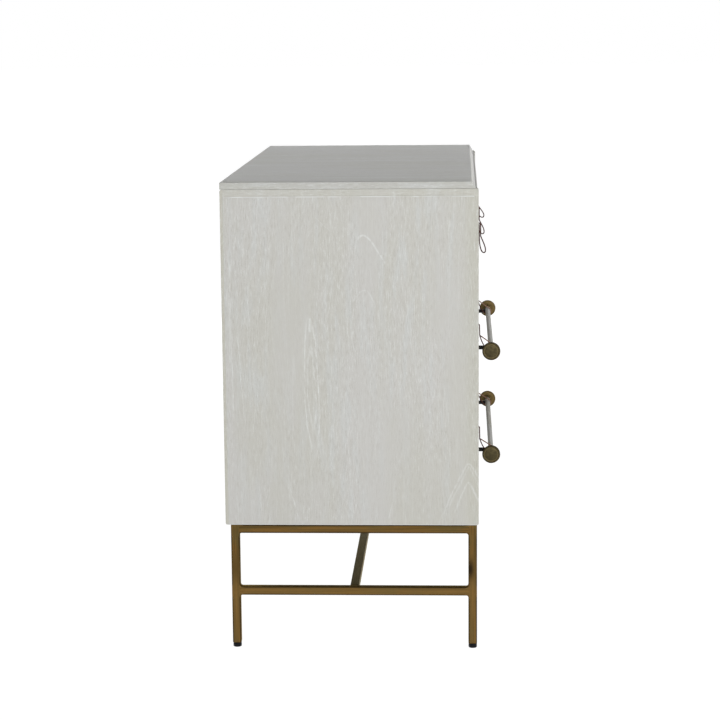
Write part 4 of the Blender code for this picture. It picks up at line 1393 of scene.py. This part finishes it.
@dataclass(frozen=True)
class Glide:
    """A black glide under a leg, with a fine neck under its shoulder."""

    word: str
    toe: float = 0.0018
    stem: float = 0.004

    def build(self) -> Piece:
        """Build the glide as a turned shape, its stem up the leg.

        Returns:
            The finished piece.
        """
        node = "glide_" + self.word
        low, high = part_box(node)
        x, y, r = (low.x + high.x) / 2, (low.y + high.y) / 2, (high.x - low.x) / 2
        profile = [(0, 0), *quarter_arc(r - self.toe, self.toe, self.toe), (r, 0.0056), (r - 0.0006, 0.0060)]
        profile += [(r - 0.0006, 0.0066), (r, 0.0070), (r, 0.0081), (r - 0.0004, 0.0085)]
        profile += [(self.stem, 0.0085), (self.stem, high.z), (0, high.z)]
        shell = turned(profile, (x, y, 0), Turn.UP, 40)
        return Place(CASE, node, "black_glide").make("foot_" + self.word, shell, BlackGlide(), 35)


@dataclass(frozen=True)
class Base:
    """The bronze tube base on its four glides, its long rails duller than its end frames."""

    tube: SquareTube = SquareTube()
    dull: BronzeTube = BronzeTube(
        light=srgb(102, 88, 61), middle=srgb(84, 74, 53), green=srgb(80, 75, 55), edge=(0.80, 0.76, 0.58)
    )
    let_in: float = 0.0012
    rails: tuple[tuple[str, str], ...] = (
        ("front_rail", "rail_front"),
        ("back_rail", "rail_back"),
        ("stretcher", "rail_low"),
    )

    def build(self) -> None:
        """Build the end frames, the long rails between them and the glides."""
        for word, _ in SIDES:
            EndFrame(word).build()
        for node, name in self.rails:
            low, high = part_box(node)
            y, z = (low.y + high.y) / 2, (low.z + high.z) / 2
            ends = ((low.x - self.let_in, y, z), (high.x + self.let_in, y, z))
            shell = self.tube.shell(*ends, (0.0, 0.0, 1.0), 65)
            Place(CASE, node, "bronze_tube").make(name, shell, self.dull, 40)
        for word in ("front_left", "front_right", "back_left", "back_right"):
            Glide(word).build()


# ---------------------------------------------------------------- laces


def bezier(start: Array, start_pull: Array, end_pull: Array, end: Array, count: int) -> Array:
    """Give points along a cubic curve, without its last point.

    Args:
        start: The first end.
        start_pull: The point that the curve leaves for.
        end_pull: The point that it comes from.
        end: The other end.
        count: How many points it gets.

    Returns:
        The points.
    """
    t = (np.arange(count) / count)[:, None]
    s = 1 - t
    return start * s**3 + start_pull * (3 * s * s * t) + end_pull * (3 * s * t * t) + end * t**3


def point(x: float, y: float, z: float) -> Array:
    """Make a point."""
    return np.array((x, y, z), float)


@dataclass(frozen=True)
class Lace:
    """A round leather lace through a drawer's front, knotted behind it.

    Its route is that of the part's source, with fine times as many points on each stretch.
    """

    diameter: float = 0.0022
    pitch: float = 0.0026
    face_offset: float = 0.0045
    bend: float = 0.0040
    tail: float = 0.009
    tail_spread: float = 0.0022
    front_thickness: float = 0.018
    arc_pull: float = 0.5523
    fine: int = 4
    around: int = 18
    twist: float = 0.0075
    ridge_height: float = 0.05
    knot_swell: float = 0.95
    knot_place: float = 0.0042
    knot_half: float = 0.0024
    knot_pitch: float = 0.0016
    knot_ridge: float = 0.14
    tail_round: float = 0.0006

    def curves(self, *stretches: tuple) -> Array:
        """Join cubic curves, each given by its four points and how finely it is divided."""
        return np.concatenate([bezier(*places, count * self.fine) for *places, count in stretches])

    def strand(self, hole: Array, bend: float, offset: float, shift: Array, tie: Array) -> Array:
        """Lead a strand from its tail inside the drawer, out and down the face, up to its tie.

        Args:
            hole: Where its hole opens on the face.
            bend: The radius of its outer bend.
            offset: How far off the face it hangs.
            shift: How far its tail lies from the hole's axis.
            tie: Where it leaves the other strand, which is not itself on the path.

        Returns:
            The strand's points.
        """
        mouth = hole + point(0, self.front_thickness, 0)
        tail_end = mouth + point(0, self.tail, 0) + shift
        inner, outer = hole + point(0, bend - offset, 0), hole + point(0, -offset, -bend)
        out, pull = point(0, self.tail / 3, 0), bend * self.arc_pull
        drop = point(0, 0, (outer[2] - tie[2]) / 3)
        return self.curves(
            (tail_end, tail_end - out, mouth + out, mouth, 5),
            (mouth, mouth - out, inner + out, inner, 3),
            (inner, inner - point(0, pull, 0), outer + point(0, 0, pull), outer, 4),
            (outer, outer - drop, tie + drop, tie, 4),
        )

    def route(self) -> Array:
        """Give the lace's points about the middle of the drawer's face."""
        raise NotImplementedError

    def painted_highlight(self, path: Array) -> Array:
        """Say how much painted highlight the lace gets at each point of its path."""
        return np.zeros(len(path))

    def shell(self, path: Array) -> Shell:
        """Carry a round section along the path, swollen into knots at its tails.

        The radius is r (1 + 0.05 cos(2a - 2 pi s / twist)) for the turn a and the length s: a
        faint twist of two ridges. In the knots it swells, and ridges wind round closely.

        Args:
            path: The points of the lace's middle line.

        Returns:
            The shell, marked with the lace's own space, its ridges and its painted highlight.
        """
        tangent = unit(np.gradient(path, axis=0))
        across = unit(np.cross(tangent, (1.0, 0.0, 0.0)))
        steps = np.linalg.norm(np.diff(path, axis=0), axis=1)
        length = np.concatenate(((0.0,), np.cumsum(steps)))[:, None]
        from_tail = np.minimum(length, length[-1] - length)
        angle = np.arange(self.around) * CIRCLE / self.around
        section = self.diameter / 2 * ring_of(angle)
        ridge = np.cos(2 * angle - CIRCLE * length / self.twist)
        wound = np.cos(angle - CIRCLE * from_tail / self.knot_pitch)
        knot = self.knot_swell * np.exp(-(((from_tail - self.knot_place) / self.knot_half) ** 4))
        rounded = np.sqrt(1 - (1 - np.clip(from_tail / self.tail_round, 0.15, 1)) ** 2)
        scale = (1 + self.ridge_height * ridge) * (1 + knot * (1 + self.knot_ridge * wound)) * rounded
        shell = carried(path, across, np.cross(across, tangent), scale[..., None] * section)
        own = np.stack(np.broadcast_arrays(*section.T, length), -1).reshape(-1, 3)
        painted_highlight = np.repeat(self.painted_highlight(path), self.around)
        shell.marks = {"lace": own, "ridge": ((ridge + 1) / 2).ravel(), "painted_highlight": painted_highlight}
        return shell

    def build(self, name: str, place: Place, middle: Triple) -> tuple[Piece, Array]:
        """Build the lace about the middle of a drawer's face: the piece, and the points of its route."""
        path = self.route() + middle
        return place.make(name, self.shell(path), LaceLeather(), 60), path


@dataclass(frozen=True)
class LoopLace(Lace):
    """A hanging loop, whose two strands lie one over the other on the face."""

    tie_drop: float = 0.0030
    reach: float = 0.0163
    drop: float = 0.0349
    hole_rise: float = 0.0215
    turn_height: float = 0.0046
    turn_depth: float = 0.0031
    swing: float = 0.0029
    fall_share: float = 0.30
    back_share: float = 0.62
    return_share: float = 0.60

    def route(self) -> Array:
        """Give the loop's points: in, down the face, out and round, and back.

        Returns:
            The points, from tail to tail.
        """
        half, spread = self.pitch / 2, point(0, 0, self.tail_spread)
        inner, outer = self.face_offset, self.face_offset + self.pitch
        start, end = point(0, -outer, -self.tie_drop), point(0, -inner, -self.tie_drop)
        upper, lower = point(0, 0, self.hole_rise + half), point(0, 0, self.hole_rise - half)
        front = point(0, -self.reach, self.turn_height - self.drop)
        lowest = point(0, self.turn_depth - self.reach, -self.drop)
        rise = (start[2] - front[2]) * self.fall_share
        turn_z = point(0, 0, self.turn_height * self.arc_pull)
        turn_y = point(0, self.turn_depth * self.arc_pull, 0)
        back_y = point(0, (end[1] - lowest[1]) * self.back_share, 0)
        back_z = point(0, 0, (end[2] - lowest[2]) * self.return_share)
        hanging = self.curves(
            (start, start - point(0, self.swing, rise), front + point(0, 0, rise), front, 6),
            (front, front - turn_z, lowest - turn_y, lowest, 4),
            (lowest, lowest + back_y, end - back_z, end, 8),
        )
        first = self.strand(upper, self.bend + self.pitch, outer, spread, start)
        last = self.strand(lower, self.bend, inner, -spread, end)
        return np.concatenate((first, hanging, end[None], last[::-1]))


@dataclass(frozen=True)
class LashLace(Lace):
    """A lace from two holes, over the bar, under it, and back up beside the post."""

    face_offset: float = 0.0058
    hole_rise: float = 0.0190
    hole_pitch: float = 0.0040
    tie_drop: float = 0.0036
    tie_offset: float = 0.0061
    over_x: float = 0.0024
    beside_x: float = 0.0064
    wrap_radius: float = 0.0065
    start_turn: float = 126.0
    end_turn: float = 316.0
    climb_share: float = 0.36
    lean_share: float = 0.35
    rod_standoff: float = 0.028
    rod_drop: float = 0.0275

    def painted_highlight(self, path: Array) -> Array:
        """Paint a highlight on the upper stretch between the front and the bar, where light falls from above.

        Args:
            path: The lace's points.

        Returns:
            The share of the painted highlight's colour at each point.
        """
        out = path[:, 1].max() - self.front_thickness - self.tail - path[:, 1]
        passed = np.linspace(0, 1, len(path))
        return smooth_share(out, 0.007, 0.012) * (1 - 0.85 * smooth_share(passed, 0.50, 0.56))

    def wrap(self) -> Array:
        """Wind round the bar, from over it to behind it, while stepping aside.

        Returns:
            The points, from over the bar to behind it.
        """
        share = np.linspace(0, 1, 8 * self.fine + 1)
        turn = np.radians(self.start_turn + share * (self.end_turn - self.start_turn))
        x = self.over_x - share * (self.over_x + self.beside_x)
        flat = self.wrap_radius * ring_of(turn) - (self.rod_standoff, self.rod_drop)
        return np.concatenate((x[:, None], flat), -1)

    def route(self) -> Array:
        """Give the lashing's points: in, down the face, over and round the bar, and back.

        Returns:
            The points, from tail to tail.
        """
        half_hole, half, spread = self.hole_pitch / 2, self.pitch / 2, point(self.tail_spread, 0, 0)
        start, end = (point(x, -self.tie_offset, -self.tie_drop) for x in (half, -half))
        right, left = (point(x, 0, self.hole_rise) for x in (half_hole, -half_hole))
        arc = self.wrap()
        run, climb = arc[0] - start, end - arc[-1]
        leave = unit(arc[-1] - arc[-1 - self.fine]) * np.linalg.norm(climb) * self.climb_share
        lean = point(0, climb[1] * self.lean_share / 2, climb[2] * self.climb_share)
        to_bar = self.curves((start, start + run / 3, arc[0] - run / 3, arc[0], 5))
        from_bar = self.curves((arc[-1], arc[-1] + leave, end - lean, end, 7))[1:]
        first = self.strand(right, self.bend, self.face_offset, spread, start)
        last = self.strand(left, self.bend, self.face_offset, -spread, end)
        return np.concatenate((first, to_bar, arc, from_bar, end[None], last[::-1]))


# ---------------------------------------------------------------- pulls and drawers


@dataclass(frozen=True)
class BarPull:
    """A bar pull: rod, end discs, posts and the lashings round them."""

    word: str
    middle_z: float
    tie_drop: float
    front_y: float
    front_thickness: float = 0.018
    length: float = 0.610
    rod_radius: float = 0.005
    standoff: float = 0.028
    drop: float = 0.0275
    post_spacing: float = 0.512
    post_radius: float = 0.004
    disc_radius: float = 0.0175
    disc_thickness: float = 0.005
    shank: float = 0.002
    nut: float = 0.0045
    hub: float = 0.00725
    hub_depth: float = 0.006

    def place(self, node: str, slot: str) -> Place:
        """Give the place of one of the pull's pieces on its drawer."""
        drawer = "wide_drawer_" + self.word
        return Place(drawer, drawer + "_bar" + node, slot)

    def rod(self, y: float, z: float) -> None:
        """Turn the rod, its ends just inside the discs' hubs.

        Args:
            y: The rod's place across the depth.
            z: The rod's height.
        """
        place = self.place("", "satin_nickel")
        low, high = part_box(place.node)
        half, r = (high.x - low.x) / 2, self.rod_radius
        stations = np.linspace(-half + 0.001, half - 0.001, 41)
        profile = [(0, -half), (r - 0.0005, -half), *((r, h) for h in stations)]
        profile += [(r - 0.0005, half), (0, half)]
        shell = turned(profile, (0, y, z), Turn.TO_RIGHT, 48)
        place.make(self.word + "_rod", shell, SatinNickel(), 35)

    def disc(self, word: str, sign: int, y: float, z: float) -> None:
        """Turn an end disc: a flat face, a sunk ring, a round rim and a hollow hub behind.

        Args:
            word: The disc's side.
            sign: That side's sign.
            y: The rod's place across the depth.
            z: The rod's height.
        """
        r, t, hub, depth = self.disc_radius, self.disc_thickness, self.hub, self.hub_depth
        bore = self.rod_radius + SEAT_GAP
        profile = [(0, 0), (bore, 0), (bore, -depth), (hub - 0.0004, -depth), (hub, 0.0004 - depth)]
        profile += [(hub, -0.0003), (hub + 0.0004, 0), *quarter_arc(r - 0.0007, 0.0007, 0.0007)]
        profile += quarter_arc(r - 0.0014, t - 0.0014, 0.0014, 0)
        face = [(0.86, 0), (0.845, -0.00005), (0.825, -0.0002), (0.80, -0.00025), (0.72, -0.00025)]
        face += [(0.695, -0.0002), (0.675, -0.00005), (0.66, 0), (0.4, 0), (0, 0)]
        profile += [(r * share, t + down) for share, down in face]
        center = (sign * (self.length / 2 - t), y, z)
        shell = turned(profile, center, Turn.TO_RIGHT if sign > 0 else Turn.TO_LEFT, 72)
        finish = TurnedBrass(center, r, -sign)
        self.place("_disc_" + word, "aged_brass").make(f"{self.word}_disc_{word}", shell, finish, 32)

    def post(self, word: str, sign: int, z: float) -> None:
        """Turn a post with its shank, and set its washer and six-sided nut behind the front.

        Args:
            word: The post's side.
            sign: That side's sign.
            z: The rod's height.
        """
        r, outer = self.post_radius, self.standoff - self.rod_radius - SEAT_GAP
        shank, nut, inside = self.shank, self.nut, -self.front_thickness - SEAT_GAP
        body = [(0, inside - 0.0030), (shank, inside - 0.0030), (shank, SEAT_GAP), (r - 0.0003, SEAT_GAP)]
        body += [(r, 0.0006), (r, outer - 0.0008), (r - 0.0003, outer - 0.0002)]
        body += [(r - 0.0008, outer), (0, outer)]
        hexagon = [(0, inside - 0.0028), (0.0036, inside - 0.0028), (nut, inside - 0.0024)]
        hexagon += [(nut, inside - 0.0006), (nut, inside - 0.0005), (0, inside - 0.0005)]
        washer = [(0, inside - 0.0006), (nut, inside - 0.0006), (nut, inside), (0, inside)]
        foot = (sign * self.post_spacing / 2, self.front_y, z)
        profiles = ((body, 32), (hexagon, 6), (washer, 32))
        whole = joined([turned(profile, foot, Turn.TO_FRONT, steps) for profile, steps in profiles])
        self.place("_post_" + word, "black_post").make(f"{self.word}_post_{word}", whole, BlackMetal(), 32)

    def build(self) -> None:
        """Build the pull on its drawer."""
        y, z = self.front_y - self.standoff, self.middle_z - self.drop
        self.rod(y, z)
        for word, sign in SIDES:
            self.disc(word, sign, y, z)
            self.post(word, sign, z)
            middle = (sign * self.post_spacing / 2, self.front_y, self.middle_z)
            place = self.place("_lace_" + word, "lace_leather")
            LashLace(tie_drop=self.tie_drop).build(f"{self.word}_lashing_{word}", place, middle)


@dataclass(frozen=True)
class SmallPull:
    """The loop of a small drawer: where it hangs, its shape and its real length."""

    word: str
    x: float
    lace: LoopLace
    length: float


@dataclass(frozen=True)
class Drawers:
    """The five drawers on their runners, with their pulls."""

    front_y: float = -0.21125
    small_middle: float = 0.75675
    loops: tuple[SmallPull, ...] = (
        SmallPull("left", -0.3395, LoopLace(tie_drop=0.0030, reach=0.0163, drop=0.0349), 0.1806),
        SmallPull("middle", 0.0, LoopLace(tie_drop=0.0050, reach=0.0172, drop=0.0343), 0.1805),
        SmallPull("right", 0.3395, LoopLace(tie_drop=0.0058, reach=0.0202, drop=0.0330), 0.1815),
    )
    bars: tuple[tuple[str, float, float], ...] = (("upper", 0.55375, 0.0036), ("lower", 0.35075, 0.0058))
    bottom: BoxWood = BoxWood(GrainAxis.ALONG_X, srgb(216, 197, 163), srgb(192, 165, 126))
    runner: BoxWood = BoxWood(GrainAxis.ALONG_Y, srgb(200, 170, 128), srgb(164, 130, 88))

    def dress(self, drawer: str) -> None:
        """Dress a drawer's packed boards and its runners.

        Args:
            drawer: The drawer's body.
        """
        dress_node(drawer + "_front", CerusedWood(GrainAxis.ALONG_X))
        dress_node(drawer + "_box", BoxWood(GrainAxis.ALONG_Y))
        dress_node(drawer + "_bottom", self.bottom)
        for word, _ in SIDES:
            dress_node(f"{drawer}_runner_{word}", self.runner)

    def hang_loop(self, drawer: str, pull: SmallPull) -> None:
        """Args:
            drawer: The drawer's body.
            pull: The loop and where it hangs.
        """
        place = Place(drawer, drawer + "_lace_loop", "lace_leather")
        middle = (pull.x, self.front_y, self.small_middle)
        piece, path = pull.lace.build("loop_" + pull.word, place, middle)

    def build(self) -> None:
        """Build and dress the drawers."""
        for pull in self.loops:
            self.dress("small_drawer_" + pull.word)
            self.hang_loop("small_drawer_" + pull.word, pull)
        for word, middle_z, tie_drop in self.bars:
            self.dress("wide_drawer_" + word)
            BarPull(word, middle_z, tie_drop, self.front_y).build()


def main() -> None:
    """Build the studio and the dresser's sub-assemblies, in order."""
    logging.basicConfig(level=logging.INFO, format="%(name)s: %(message)s")
    for part in (Studio(), Case(), Base(), Drawers()):
        part.build()


if __name__ == "__main__":
    main()
